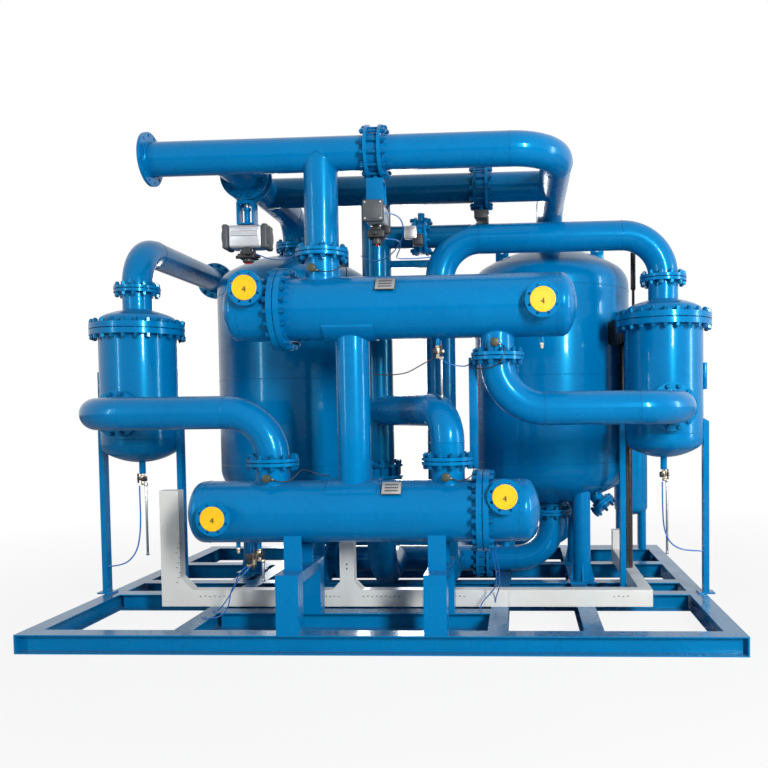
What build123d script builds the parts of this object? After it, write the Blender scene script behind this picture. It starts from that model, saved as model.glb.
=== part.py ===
from build123d import *
import os
from math import atan2, cos, degrees, radians, sin, tan

os.makedirs("parts", exist_ok=True)

# Frame: X runs along the skid, Y from the front (negative) to the back, Z up from the floor.

# Skid of H-beams
skid_length = 4620.0
skid_width = 3320.0
beam_height = 125.0
beam_flange_width = 125.0
beam_web = 7.0
beam_flange = 9.0
beam_end_plate = 10.0
left_stringer_x = -1254.0
middle_stringer_x = 776.0
right_stringer_x = 1386.0
saddle_rail_y = -1040.0

# Planes that the equipment stands in, seen from above
exchanger_inset = 300.0
service_y = -480.0
tank_y = 320.0
rear_inset = 201.0

# Process pipe and its flanges, nominal bore 200
pipe_od = 219.0
pipe_wall = 6.0
elbow_radius = 305.0
short_elbow_radius = 210.0
flange_od = 340.0
flange_thickness = 24.0
raised_face_od = 268.0
raised_face = 3.0
bolt_circle = 295.0
bolt_count = 12
bolt_hole = 22.0

# Heights of the pipework
header_z = 3185.0
outlet_run_z = 2805.0
inlet_straight = 25.0
upper_outlet_straight = 33.0
manifold_z = 245.0
riser_valve_z = 1068.0
service_joint_z = 900.0

# Header run at the front and the two pipes that drop from the service plane
header_face_x = -1480.0
header_tee_x = -340.0
header_valve_x = 22.0
left_leg_valve_y = -920.0
rear_valve_x = 660.0
manifold_left_valve_x = -692.0
manifold_right_valve_x = 603.0
riser_x = -139.0
drop_x = 339.0
manifold_joint_y = 900.0
rear_joint_y = 1130.0
filter_line_joint_z = 620.0

# Desiccant tanks with 2:1 heads and three legs each
left_tank_x = -979.0
right_tank_x = 1195.0
tank_od = 1316.0
tank_wall = 10.0
tank_low_tangent_z = 1051.0
tank_high_tangent_z = 2530.0
tank_nozzle_rise = 76.0
tank_foot_rise = 72.0
leg_od = 140.0
leg_circle = 450.0
left_leg_angles = (-60.0, 60.0, 180.0)
right_leg_angles = (-60.0, 60.0, 150.0)
leg_plate = 210.0
leg_plate_thickness = 16.0
gusset_thickness = 10.0
gusset_height = 130.0
gusset_inset = 6.0
bed_clearance = 0.5

# Dished ends and welded tees
knuckle_share = 0.6
tee_relief = 0.4

# Coolers: shell, bonnet and the flanges between them
cooler_od = 406.0
cooler_wall = 9.0
cooler_flange_od = 530.0
cooler_flange = 40.0
body_face_margin = 40.0
upper_shell_end_x = 1304.0
upper_joint_x = -600.0
upper_bonnet_end_x = -986.0
lower_cooler_z = 870.0
lower_shell_end_x = -1250.0
lower_joint_x = 692.0
lower_bonnet_end_x = 1055.0
upper_low_nozzle_x = 791.0
lower_left_nozzle_x = -696.0
lower_right_nozzle_x = 461.0
cooler_nozzle_rise = 123.0
header_nozzle_rise = 152.0
link_x = -152.0
link_pad_width = 330.0
link_pad_thickness = 10.0
weld_gap = 0.3
tube_od = 25.0
tube_rings = ((60.0, 6), (120.0, 12))
tube_sheet = 30.0
baffle_thickness = 8.0
baffle_shares = (0.25, 0.5, 0.75)
bundle_clearance = 0.5

# Cooling-water nozzles, nominal bore 100, closed by yellow caps
water_od = 108.0
water_wall = 5.0
water_flange_od = 220.0
water_flange = 22.0
water_raised_face_od = 158.0
water_bolt_circle = 180.0
water_bolt_count = 8
water_bolt_hole = 18.0
water_face_inset = 14.0
cap_od = 156.0
cap_thickness = 8.0

# Each water nozzle: its place along the cooler and its rise above the cooler's axis
upper_bonnet_water = (-763.0, 106.0)
upper_shell_water = (1079.0, -2.0)
lower_shell_water = (-1002.0, -11.0)
lower_bonnet_water = (835.0, 115.0)

# Saddles under the lower cooler: two columns, a cross member and a cradle each
saddle_xs = (-536.0, 396.0)
column_width = 144.0
column_depth = 116.0
column_inset = 5.0
column_top_z = 503.0
cross_member_height = 70.0
cradle_width = 116.0
cradle_depth = 290.0
saddle_plate = 14.0

# Water separators, their posts and their drains
separator_inset = 305.0
separator_od = 576.0
separator_wall = 8.0
separator_low_tangent_z = 1294.0
separator_low_head = 144.0
separator_joint_z = 2165.0
separator_flange_od = 700.0
separator_flange = 44.0
separator_head_depth = 120.0
separator_top_joint_z = 2476.0
separator_front_reach = 362.0
post_width = 40.0
post_depth = 75.0
post_top_z = 1440.0
post_bevel = 24.0
post_plate = 12.0
post_gap = 0.3
drain_od = 48.0
drain_stub = 90.0
drain_valve = 64.0
drain_valve_height = 92.0
drain_tube_od = 18.0
drain_tube_low_z = 420.0

# After-filter at the right rear
filter_inset = 289.0
filter_od = 324.0
filter_wall = 7.0
filter_low_tangent_z = 545.0
filter_high_tangent_z = 1900.0
filter_inlet_z = 900.0
filter_outlet_z = 1640.0
filter_nozzle_reach = 100.0
filter_bend_x = 1430.0
filter_leg_od = 76.0
filter_leg_spacing = 214.0
filter_leg_depth = 60.0

# Butterfly valves: body, disc with stem, bracket and actuator
valve_width = 60.0
valve_body_od = 266.0
valve_bore = 201.0
disc_thickness = 18.0
disc_clearance = 0.8
stem_radius = 11.0
stem_clearance = 0.3
stem_foot = 14.0
stem_entry = 30.0
stem_end_gap = 2.0
neck_radius = 27.0
neck_gap = 4.0
mount_plate = 12.0
mount_width = 110.0
bracket_plate = 10.0
header_bracket = 147.0
left_leg_bracket = 154.0

# Actuators and switch boxes: length along the pipe, width across it and height
header_actuator = (135.0, 300.0, 137.0)
header_switch_box = (110.0, 130.0, 140.0)
left_leg_actuator = (150.0, 322.0, 173.0)
left_leg_switch_box = (120.0, 150.0, 92.0)
rear_header_actuator = (100.0, 230.0, 68.0)
riser_actuator = (120.0, 120.0, 150.0)
manifold_actuator = (120.0, 230.0, 120.0)

# Cable trunking along the skid
tray_height = 120.0
tray_depth = 90.0
tray_y = -870.0
tray_left_x = -1677.0
tray_left_width = 141.0
tray_left_top_z = 968.0
tray_branch_x = -317.0
tray_branch_width = 102.0
tray_branch_top_z = 590.0
tray_branch_flare = 60.0
tray_right_x = 1850.0
tray_back_y = 835.0
tray_back_top_z = 416.0
tray_corner = 90.0
conduit_x = 1775.0
conduit_y = -92.0
conduit_od = 100.0
conduit_top_z = 2277.0

# Hoses of the drains
hose_od = 11.0
hose_offset = 26.0
hose_arc_share = 0.45

pipe_r = pipe_od / 2
pipe_bore_r = pipe_r - pipe_wall
front_y = -skid_width / 2
rear_face_y = skid_width / 2
exchanger_y = front_y + exchanger_inset
rear_y = rear_face_y - rear_inset
half_flange = beam_flange_width / 2
side_beam_x = skid_length / 2 - half_flange
end_beam_y = skid_width / 2 - half_flange
separator_x = skid_length / 2 - separator_inset
filter_x = skid_length / 2 - filter_inset
valve_half = valve_width / 2
neck_length = flange_od / 2 + neck_gap + mount_plate
valve_bore_r = valve_bore / 2
tank_head = tank_od / 4
cooler_head = cooler_od / 4
tank_top_joint_z = tank_high_tangent_z + tank_head + tank_nozzle_rise
tank_bottom_joint_z = tank_low_tangent_z - tank_head - tank_foot_rise
lower_joint_z = lower_cooler_z + cooler_od / 2 + cooler_nozzle_rise
inlet_run_z = lower_joint_z + elbow_radius + inlet_straight
upper_low_joint_z = inlet_run_z + elbow_radius + upper_outlet_straight
upper_cooler_z = upper_low_joint_z + cooler_nozzle_rise + cooler_od / 2
header_joint_top_z = upper_cooler_z + cooler_od / 2 + header_nozzle_rise
water_face_y = front_y + water_face_inset
separator_front_joint_y = service_y - separator_front_reach

LEFT = (-1, 0, 0)
RIGHT = (1, 0, 0)
FRONT = (0, -1, 0)
BACK = (0, 1, 0)
UP = (0, 0, 1)
DOWN = (0, 0, -1)


def save(part, name):
    part.label = name
    export_step(part, f"parts/{name}.step")


def plane_along(origin, direction, side=UP):
    """A plane at origin whose normal points along direction."""
    normal = Vector(*direction)
    across = Vector(*side)
    if normal.cross(across).length < 1e-6:
        across = Vector(1, 0, 0)
    return Plane(origin=origin, x_dir=normal.cross(across), z_dir=normal)


def upright_plane(origin):
    """The plane seen from the front: its x runs along X and its y runs up."""
    return Plane(origin=origin, x_dir=RIGHT, z_dir=FRONT)


def rod(origin, direction, radius, length, mode=Mode.ADD):
    """A cylinder from origin along direction."""
    with BuildSketch(plane_along(origin, direction)) as section:
        Circle(radius)
    extrude(section.sketch, amount=length, mode=mode)


def plate_box(low, high, mode=Mode.ADD):
    """A rectangular block between two corners."""
    with BuildSketch(Plane.XY.offset(low[2])) as section:
        with Locations(((low[0] + high[0]) / 2, (low[1] + high[1]) / 2)):
            Rectangle(high[0] - low[0], high[1] - low[1])
    extrude(section.sketch, amount=high[2] - low[2], mode=mode)


def swept(points, radius, bends, mode=Mode.ADD):
    """A round bar along a route with elbows of the given radii."""
    with BuildLine() as route:
        if len(points) == 2:
            Line(*points)
        else:
            FilletPolyline(*points, radius=bends)
    start = route.line @ 0
    with BuildSketch(plane_along(start, route.line % 0)) as section:
        Circle(radius)
    sweep(section.sketch, path=route.line, mode=mode)


def flange_ring(face, direction, od, thickness, face_od, mode=Mode.ADD):
    """A flange whose raised face lies at face and looks along direction."""
    back = Vector(*face) - Vector(*direction) * thickness
    rod(back, direction, od / 2, thickness - raised_face, mode)
    rod(back, direction, face_od / 2, thickness, mode)


def bolt_holes(face, direction, thickness, circle, hole, count):
    """Holes through a flange, astride its centre lines."""
    with BuildSketch(plane_along(face, direction)) as holes:
        with PolarLocations(circle / 2, count, start_angle=180 / count):
            Circle(hole / 2)
    extrude(holes.sketch, amount=-thickness, mode=Mode.SUBTRACT)


def pipe_flange(face, direction):
    """A flange of the process pipe."""
    flange_ring(face, direction, flange_od, flange_thickness, raised_face_od)


def dished_head(radius, tangent, depth, way):
    """The section of a dished end: a knuckle from the tangent line, then the crown to the apex."""
    knuckle = knuckle_share * depth
    reach = radius - knuckle
    crown = (reach**2 + depth**2 - knuckle**2) / (2 * (depth - knuckle))
    turn = degrees(atan2(crown - depth, reach))
    CenterArc((reach, tangent), knuckle, 0, way * turn)
    CenterArc((0, tangent + way * (depth - crown)), crown, way * turn, way * (90 - turn))


def vessel_solid(base, axis, radius, length, low_head, high_head, mode=Mode.ADD):
    """A solid of revolution from base along axis, with a dished or flat end below and above."""
    radial = RIGHT if axis == UP else UP
    normal = Vector(*radial).cross(Vector(*axis))
    with BuildSketch(Plane(origin=base, x_dir=radial, z_dir=normal)) as section:
        with BuildLine():
            Line((radius, 0), (radius, length))
            if high_head:
                dished_head(radius, length, high_head, 1)
            else:
                Line((radius, length), (0, length))
            Line((0, length + high_head), (0, -low_head))
            if low_head:
                dished_head(radius, 0, low_head, -1)
            else:
                Line((0, 0), (radius, 0))
        make_face()
    revolve(section.sketch, axis=Axis(base, axis), mode=mode)


# Skid: H-beams around the edge, three from front to back and cross rails between them


def h_beam(name, lengths, plates=()):
    """One or more H-beams given by the ends of their centre lines on the floor, and closing plates."""
    with BuildPart() as beam:
        for start, end in lengths:
            run = Vector(*end) - Vector(*start)
            along = run.normalized()
            with BuildSketch(plane_along(start, along)):
                with Locations((0, -beam_flange / 2), (0, beam_flange / 2 - beam_height)):
                    Rectangle(beam_flange_width, beam_flange)
                with Locations((0, -beam_height / 2)):
                    Rectangle(beam_web, beam_height - beam_flange)
            extrude(amount=run.length)
        for low, high in plates:
            plate_box(low, high)
    save(beam.part, name)


def rail(y, beam_xs):
    """Lengths of a cross rail between beams that run from front to back."""
    return [((a + half_flange, y, 0), (b - half_flange, y, 0)) for a, b in zip(beam_xs, beam_xs[1:])]


beam_lines = (-side_beam_x, left_stringer_x, middle_stringer_x, right_stringer_x, side_beam_x)
inner_y = skid_width / 2 - beam_flange_width
leg_reach_y = leg_circle * sin(radians(60))
side_leg_x = left_tank_x - leg_circle

for name, side in (("skid_front_beam", -1), ("skid_rear_beam", 1)):
    middle_y = side * end_beam_y
    plates = []
    for end in (-1, 1):
        outer = end * skid_length / 2
        inner = outer - end * beam_end_plate
        low = (min(outer, inner), middle_y - half_flange, 0)
        plates.append((low, (max(outer, inner), middle_y + half_flange, beam_height)))
    reach = skid_length / 2 - beam_end_plate
    h_beam(name, [((-reach, middle_y, 0), (reach, middle_y, 0))], plates)

for name, x in (("skid_left_beam", -side_beam_x), ("skid_right_beam", side_beam_x)):
    h_beam(name, [((x, -inner_y, 0), (x, inner_y, 0))])

h_beam("skid_stringers", [((x, -inner_y, 0), (x, inner_y, 0)) for x in beam_lines[1:-1]])

middle_rails = rail(saddle_rail_y, (left_stringer_x, middle_stringer_x))
middle_rails += rail(service_y, beam_lines) + rail(tank_y - leg_reach_y, beam_lines)
h_beam("skid_middle_rails", middle_rails)

rear_rails = rail(tank_y + leg_reach_y, beam_lines) + rail(rear_y, (right_stringer_x, side_beam_x))
stub_reach = leg_reach_y - half_flange
rear_rails.append(((side_leg_x, tank_y - stub_reach, 0), (side_leg_x, tank_y + stub_reach, 0)))
h_beam("skid_rear_rails", rear_rails)


# Desiccant tanks and the beds of desiccant in them


def tank_leg(centre, angle):
    """A pipe leg with its base plate and four gussets."""
    x = centre[0] + leg_circle * cos(radians(angle))
    y = centre[1] + leg_circle * sin(radians(angle))
    plate_top = beam_height + leg_plate_thickness
    half = leg_plate / 2
    plate_box((x - half, y - half, beam_height), (x + half, y + half, plate_top))
    rod((x, y, plate_top), UP, leg_od / 2, tank_low_tangent_z - plate_top)
    foot = half - gusset_inset
    for side in (RIGHT, BACK):
        upright = Plane(origin=(x, y, plate_top), x_dir=side, z_dir=Vector(*side).cross(Vector(*UP)))
        with BuildSketch(upright) as section:
            top = leg_od / 2
            Polygon((-foot, 0), (foot, 0), (top, gusset_height), (-top, gusset_height), align=None)
        extrude(section.sketch, amount=gusset_thickness / 2, both=True)


def tank(name, x, leg_angles):
    """A pressure vessel: shell, heads, nozzles and legs."""
    centre = (x, tank_y)
    radius = tank_od / 2
    with BuildPart() as vessel:
        low, length = tank_low_tangent_z, tank_high_tangent_z - tank_low_tangent_z
        vessel_solid((*centre, low), UP, radius, length, tank_head, tank_head)
        for angle in leg_angles:
            tank_leg(centre, angle)
        rod((*centre, tank_high_tangent_z), UP, pipe_r, tank_top_joint_z - tank_high_tangent_z)
        rod((*centre, tank_low_tangent_z), DOWN, pipe_r, tank_low_tangent_z - tank_bottom_joint_z)
        pipe_flange((*centre, tank_top_joint_z), UP)
        pipe_flange((*centre, tank_bottom_joint_z), DOWN)
        inner_head = tank_head - tank_wall
        inner_r = radius - tank_wall
        vessel_solid((*centre, low), UP, inner_r, length, inner_head, inner_head, Mode.SUBTRACT)
        reach = tank_top_joint_z - tank_bottom_joint_z
        rod((*centre, tank_bottom_joint_z), UP, pipe_bore_r, reach, Mode.SUBTRACT)
    save(vessel.part, name)

    with BuildPart() as bed:
        rod((*centre, low), UP, inner_r - bed_clearance, length)
    save(bed.part, name.replace("tank", "desiccant_bed"))


tank("left_tank", left_tank_x, left_leg_angles)
tank("right_tank", right_tank_x, right_leg_angles)


# Coolers: shells, bonnets, tube bundles, the link between them and the saddles


def water_nozzle(x, z):
    """A water pipe from the middle of the cooler to its flange at the front."""
    face = (x, water_face_y, z)
    rod(face, BACK, water_od / 2, exchanger_y - water_face_y)
    flange_ring(face, FRONT, water_flange_od, water_flange, water_raised_face_od)


def water_bore(x, z):
    face = (x, water_face_y, z)
    rod(face, BACK, water_od / 2 - water_wall, exchanger_y - water_face_y, Mode.SUBTRACT)
    bolt_holes(face, FRONT, water_flange, water_bolt_circle, water_bolt_hole, water_bolt_count)


def gas_nozzle(x, centre_z, joint_z, mode=Mode.ADD):
    """A process nozzle from the middle of the shell to its joint, and its flange."""
    direction = UP if joint_z > centre_z else DOWN
    radius = pipe_r if mode == Mode.ADD else pipe_bore_r
    rod((x, exchanger_y, centre_z), direction, radius, abs(joint_z - centre_z), mode)
    if mode == Mode.ADD:
        pipe_flange((x, exchanger_y, joint_z), direction)


def cooler_piece(name, joint_x, end_x, centre_z, water, nozzles=()):
    """A shell or a bonnet: barrel, body flange, water nozzle and process nozzles."""
    inward, outward = (RIGHT, LEFT) if end_x > joint_x else (LEFT, RIGHT)
    length = abs(end_x - joint_x) - cooler_head
    water_x, water_rise = water
    joint = (joint_x, exchanger_y, centre_z)
    with BuildPart() as piece:
        vessel_solid(joint, inward, cooler_od / 2, length, 0, cooler_head)
        flange_ring(joint, outward, cooler_flange_od, cooler_flange, cooler_od + body_face_margin)
        water_nozzle(water_x, centre_z + water_rise)
        for x, joint_z in nozzles:
            gas_nozzle(x, centre_z, joint_z)
        inner_r = cooler_od / 2 - cooler_wall
        vessel_solid(joint, inward, inner_r, length, 0, cooler_head - cooler_wall, Mode.SUBTRACT)
        water_bore(water_x, centre_z + water_rise)
        for x, joint_z in nozzles:
            gas_nozzle(x, centre_z, joint_z, Mode.SUBTRACT)
    save(piece.part, name)


def tube_bundle(joint_x, end_x, centre_z):
    """A tube sheet with its tubes and baffles, which slides into the shell."""
    direction = RIGHT if end_x > joint_x else LEFT
    length = abs(end_x - joint_x) - 2 * cooler_head
    radius = cooler_od / 2 - cooler_wall - bundle_clearance
    start = (joint_x, exchanger_y, centre_z)
    rod(start, direction, radius, tube_sheet)
    for share in baffle_shares:
        rod(Vector(*start) + Vector(*direction) * length * share, direction, radius, baffle_thickness)
    with BuildSketch(plane_along(start, direction)) as tubes:
        Circle(tube_od / 2)
        for ring, count in tube_rings:
            with PolarLocations(ring, count):
                Circle(tube_od / 2)
    extrude(tubes.sketch, amount=length)


upper_nozzles = ((header_tee_x, header_joint_top_z), (upper_low_nozzle_x, upper_low_joint_z))
lower_nozzles = ((lower_left_nozzle_x, lower_joint_z), (lower_right_nozzle_x, lower_joint_z))
cooler_piece(
    "upper_cooler_shell", upper_joint_x, upper_shell_end_x, upper_cooler_z, upper_shell_water, upper_nozzles
)
cooler_piece("upper_cooler_bonnet", upper_joint_x, upper_bonnet_end_x, upper_cooler_z, upper_bonnet_water)
cooler_piece(
    "lower_cooler_shell", lower_joint_x, lower_shell_end_x, lower_cooler_z, lower_shell_water, lower_nozzles
)
cooler_piece("lower_cooler_bonnet", lower_joint_x, lower_bonnet_end_x, lower_cooler_z, lower_bonnet_water)

with BuildPart() as tube_bundles:
    tube_bundle(upper_joint_x, upper_shell_end_x, upper_cooler_z)
    tube_bundle(lower_joint_x, lower_shell_end_x, lower_cooler_z)
save(tube_bundles.part, "tube_bundles")

with BuildPart() as water_caps:
    for centre_z, points in (
        (upper_cooler_z, (upper_bonnet_water, upper_shell_water)),
        (lower_cooler_z, (lower_shell_water, lower_bonnet_water)),
    ):
        for x, rise in points:
            rod((x, water_face_y, centre_z + rise), FRONT, cap_od / 2, cap_thickness)
save(water_caps.part, "water_caps")


def cut_coolers(radius):
    """Takes both cooler barrels away from a piece that fits them."""
    for centre_z in (upper_cooler_z, lower_cooler_z):
        start = (lower_shell_end_x, exchanger_y, centre_z)
        rod(start, RIGHT, radius, upper_shell_end_x - lower_shell_end_x, Mode.SUBTRACT)


with BuildPart() as link_pipe:
    rod((link_x, exchanger_y, lower_cooler_z), UP, pipe_r, upper_cooler_z - lower_cooler_z)
    for centre_z, side in ((upper_cooler_z, 1), (lower_cooler_z, -1)):
        half = link_pad_width / 2
        start = (link_x - half, exchanger_y, centre_z)
        with BuildSketch(plane_along(start, RIGHT)):
            with Locations((0, side * cooler_od / 2)):
                Rectangle(link_pad_width, link_pad_width / 2)
            Circle(cooler_od / 2 + link_pad_thickness, mode=Mode.INTERSECT)
        extrude(amount=link_pad_width)
    cut_coolers(cooler_od / 2 + weld_gap)
save(link_pipe.part, "link_pipe")

with BuildPart() as cooler_saddles:
    front_column_y = front_y + column_depth / 2 + column_inset
    for x in saddle_xs:
        half = column_width / 2
        for y in (front_column_y, saddle_rail_y):
            low_y, high_y = y - column_depth / 2, y + column_depth / 2
            plate_box((x - half, low_y, beam_height), (x + half, high_y, column_top_z))
        cross_low_z = column_top_z - cross_member_height
        plate_box((x - half, front_column_y, cross_low_z), (x + half, saddle_rail_y, column_top_z))
        half = cradle_width / 2
        back = exchanger_y - cradle_depth / 2
        plates = (
            (x - half, x + half, back, back + saddle_plate),
            (x - half, x + half, back + cradle_depth - saddle_plate, back + cradle_depth),
            (x - half, x - half + saddle_plate, back, back + cradle_depth),
        )
        for low_x, high_x, low_y, high_y in plates:
            plate_box((low_x, low_y, column_top_z), (high_x, high_y, lower_cooler_z))
    cut_coolers(cooler_od / 2 + weld_gap)
save(cooler_saddles.part, "cooler_saddles")


# Water separators with their heads, posts and drains


def separator(name, side):
    """A vertical vessel with a bolted head, on two posts, and its drain."""
    x = side * separator_x
    centre = (x, service_y)
    radius = separator_od / 2
    inner_r = radius - separator_wall
    low, joint = separator_low_tangent_z, separator_joint_z
    with BuildPart() as vessel:
        vessel_solid((*centre, low), UP, radius, joint - low, separator_low_head, 0)
        face_od = separator_od + body_face_margin
        flange_ring((*centre, joint), UP, separator_flange_od, separator_flange, face_od)
        front_joint = (x, separator_front_joint_y, inlet_run_z)
        rod(front_joint, BACK, pipe_r, service_y - separator_front_joint_y)
        pipe_flange(front_joint, FRONT)
        rod((*centre, low), DOWN, drain_od / 2, separator_low_head + drain_stub)
        inner_head = separator_low_head - separator_wall
        vessel_solid((*centre, low), UP, inner_r, joint - low, inner_head, 0, Mode.SUBTRACT)
        rod(front_joint, BACK, pipe_bore_r, service_y - separator_front_joint_y, Mode.SUBTRACT)
    save(vessel.part, name)

    with BuildPart() as head:
        base = (*centre, joint)
        dome = separator_head_depth
        flange_ring(base, DOWN, separator_flange_od, separator_flange, separator_od + body_face_margin)
        vessel_solid(base, UP, radius, separator_flange, 0, dome)
        pipe_foot = joint + separator_flange
        rod((*centre, pipe_foot), UP, pipe_r, separator_top_joint_z - pipe_foot)
        pipe_flange((*centre, separator_top_joint_z), UP)
        vessel_solid(base, UP, inner_r, separator_flange, 0, dome - separator_wall, Mode.SUBTRACT)
        rod((*centre, joint), UP, pipe_bore_r, separator_top_joint_z - joint, Mode.SUBTRACT)
    save(head.part, f"{name}_head")

    with BuildPart() as drain:
        top = low - separator_low_head - drain_stub
        half = drain_valve / 2
        plate_box((x - half, service_y - half, top - drain_valve_height), (x + half, service_y + half, top))
        tube_x = x + half - drain_tube_od / 2
        reach = top - drain_valve_height - drain_tube_low_z
        rod((tube_x, service_y, drain_tube_low_z), UP, drain_tube_od / 2, reach)
    save(drain.part, f"{name}_drain")


separator("left_separator", -1)
separator("right_separator", 1)

with BuildPart() as separator_posts:
    for side in (-1, 1):
        for outward in (-1, 1):
            near = side * separator_x + outward * (separator_od / 2 + post_gap)
            far = near + outward * post_width
            low_x, high_x = min(near, far), max(near, far)
            with BuildSketch(upright_plane((0, service_y + post_depth / 2, 0))):
                top_near = post_top_z
                top_far = post_top_z - post_bevel
                corners = ((near, beam_height), (far, beam_height), (far, top_far), (near, top_near))
                Polygon(*corners, align=None)
            extrude(amount=post_depth)
            foot_y = service_y - post_depth / 2 - post_plate
            top = beam_height + post_plate
            plate_low = (low_x - post_width, foot_y, beam_height)
            plate_box(plate_low, (high_x + post_width, foot_y + post_depth + 2 * post_plate, top))
save(separator_posts.part, "separator_posts")


# Pipe spools: runs of pipe with elbows and tees, welded to their flanges


def spool(name, runs, flanges, openings=(), trims=(), drilled=()):
    """A spool: its main run and branches, flanges, wall openings and saddle cuts.

    A branch is a little smaller than its main run, so that the two walls never touch along a line.
    """
    with BuildPart() as made:
        reliefs = [0] + [tee_relief] * (len(runs) - 1)
        for (points, bends), relief in zip(runs, reliefs):
            swept(points, pipe_r - relief, bends)
        for face, direction in flanges:
            pipe_flange(face, direction)
        for (points, bends), relief in zip(runs, reliefs):
            swept(points, pipe_bore_r - relief, bends, Mode.SUBTRACT)
        for origin, direction in openings:
            rod(origin, direction, pipe_bore_r, pipe_od, Mode.SUBTRACT)
        for points, bends in trims:
            swept(points, pipe_r, bends, Mode.SUBTRACT)
        for face, direction in drilled:
            bolt_holes(face, direction, flange_thickness, bolt_circle, bolt_hole, bolt_count)
    save(made.part, name)


header_valve_left = (header_valve_x - valve_half, exchanger_y, header_z)
header_valve_right = (header_valve_x + valve_half, exchanger_y, header_z)
left_leg_front = (left_tank_x, left_leg_valve_y - valve_half, header_z)
left_leg_back = (left_tank_x, left_leg_valve_y + valve_half, header_z)
rear_valve_left = (rear_valve_x - valve_half, service_y, header_z)
rear_valve_right = (rear_valve_x + valve_half, service_y, header_z)
left_tank_top = (left_tank_x, tank_y, tank_top_joint_z)
right_tank_top = (right_tank_x, tank_y, tank_top_joint_z)
left_tank_foot = (left_tank_x, tank_y, tank_bottom_joint_z)
right_tank_foot = (right_tank_x, tank_y, tank_bottom_joint_z)
manifold_left_gap = (manifold_left_valve_x - valve_half, manifold_left_valve_x + valve_half)
manifold_right_gap = (manifold_right_valve_x - valve_half, manifold_right_valve_x + valve_half)

header_face = (header_face_x, exchanger_y, header_z)
header_tee = (header_tee_x, exchanger_y, header_z)
upper_inlet = (header_tee_x, exchanger_y, header_joint_top_z)
left_leg_tee = (left_tank_x, exchanger_y, header_z)
spool(
    "header_left_spool",
    (
        ((header_face, header_valve_left), ()),
        ((header_tee, upper_inlet), ()),
        ((left_leg_tee, left_leg_front), ()),
    ),
    ((header_face, LEFT), (header_valve_left, RIGHT), (upper_inlet, DOWN), (left_leg_front, BACK)),
    drilled=((header_face, LEFT),),
)

header_corner = (right_tank_x, exchanger_y, header_z)
right_leg_corner = (right_tank_x, tank_y, header_z)
right_service_tee = (right_tank_x, service_y, header_z)
spool(
    "header_right_spool",
    (
        (
            (header_valve_right, header_corner, right_leg_corner, right_tank_top),
            (elbow_radius, short_elbow_radius),
        ),
        ((right_service_tee, rear_valve_right), ()),
    ),
    ((header_valve_right, LEFT), (right_tank_top, DOWN), (rear_valve_right, LEFT)),
)

left_leg_run = ((left_leg_back, (left_tank_x, tank_y, header_z), left_tank_top), (short_elbow_radius,))
left_service_tee = (left_tank_x, service_y, header_z)
spool(
    "left_leg_spool",
    (left_leg_run,),
    ((left_leg_back, FRONT), (left_tank_top, DOWN)),
    openings=((left_service_tee, RIGHT),),
)

riser_top = (riser_x, service_y, header_z)
riser_joint = (riser_x, service_y, riser_valve_z + valve_half)
riser_run = ((riser_top, riser_joint), ())
crossover_start = (riser_x, service_y, inlet_run_z)
crossover_corner = (lower_right_nozzle_x, exchanger_y, inlet_run_z)
crossover_foot = (lower_right_nozzle_x, exchanger_y, lower_joint_z)
crossover_run = Vector(*crossover_corner) - Vector(*crossover_start)
crossover_way = tuple(crossover_run.normalized())
spool(
    "rear_header_spool",
    (((left_service_tee, rear_valve_left), ()), riser_run),
    ((rear_valve_left, RIGHT), (riser_joint, DOWN)),
    openings=((crossover_start, crossover_way),),
    trims=(left_leg_run,),
)
spool(
    "crossover_spool",
    (((crossover_start, crossover_corner, crossover_foot), (short_elbow_radius,)),),
    ((crossover_foot, DOWN),),
    trims=(riser_run,),
)

riser_foot = (riser_x, service_y, riser_valve_z - valve_half)
drop_joint = (drop_x, service_y, service_joint_z)
manifold_left = (manifold_left_gap[1], tank_y, manifold_z)
manifold_right = (manifold_right_gap[0], tank_y, manifold_z)
manifold_back = (drop_x, manifold_joint_y, manifold_z)
spool(
    "manifold_spool",
    (
        ((manifold_left, manifold_right), ()),
        ((riser_foot, (riser_x, service_y, manifold_z), (riser_x, tank_y, manifold_z)), (elbow_radius,)),
        ((drop_joint, (drop_x, service_y, manifold_z), manifold_back), (elbow_radius,)),
    ),
    (
        (manifold_left, LEFT),
        (manifold_right, RIGHT),
        (riser_foot, UP),
        (drop_joint, UP),
        (manifold_back, BACK),
    ),
)

left_elbow_face = (manifold_left_gap[0], tank_y, manifold_z)
right_elbow_face = (manifold_right_gap[1], tank_y, manifold_z)
for name, face, foot, direction, bend in (
    ("manifold_elbow_left", left_elbow_face, left_tank_foot, RIGHT, short_elbow_radius),
    ("manifold_elbow_right", right_elbow_face, right_tank_foot, LEFT, elbow_radius),
):
    corner = (foot[0], tank_y, manifold_z)
    spool(name, (((face, corner, foot), (bend,)),), ((face, direction), (foot, UP)))

right_separator_top = (separator_x, service_y, separator_top_joint_z)
left_separator_top = (-separator_x, service_y, separator_top_joint_z)
right_outlet_corners = ((separator_x, service_y, outlet_run_z), (drop_x, service_y, outlet_run_z))
spool(
    "right_separator_outlet",
    (((right_separator_top, *right_outlet_corners, drop_joint), (elbow_radius, elbow_radius)),),
    ((right_separator_top, DOWN), (drop_joint, DOWN)),
)

left_outlet_joint = (-separator_x, rear_joint_y, outlet_run_z)
spool(
    "left_separator_outlet",
    (((left_separator_top, (-separator_x, service_y, outlet_run_z), left_outlet_joint), (elbow_radius,)),),
    ((left_separator_top, DOWN), (left_outlet_joint, BACK)),
)

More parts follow.
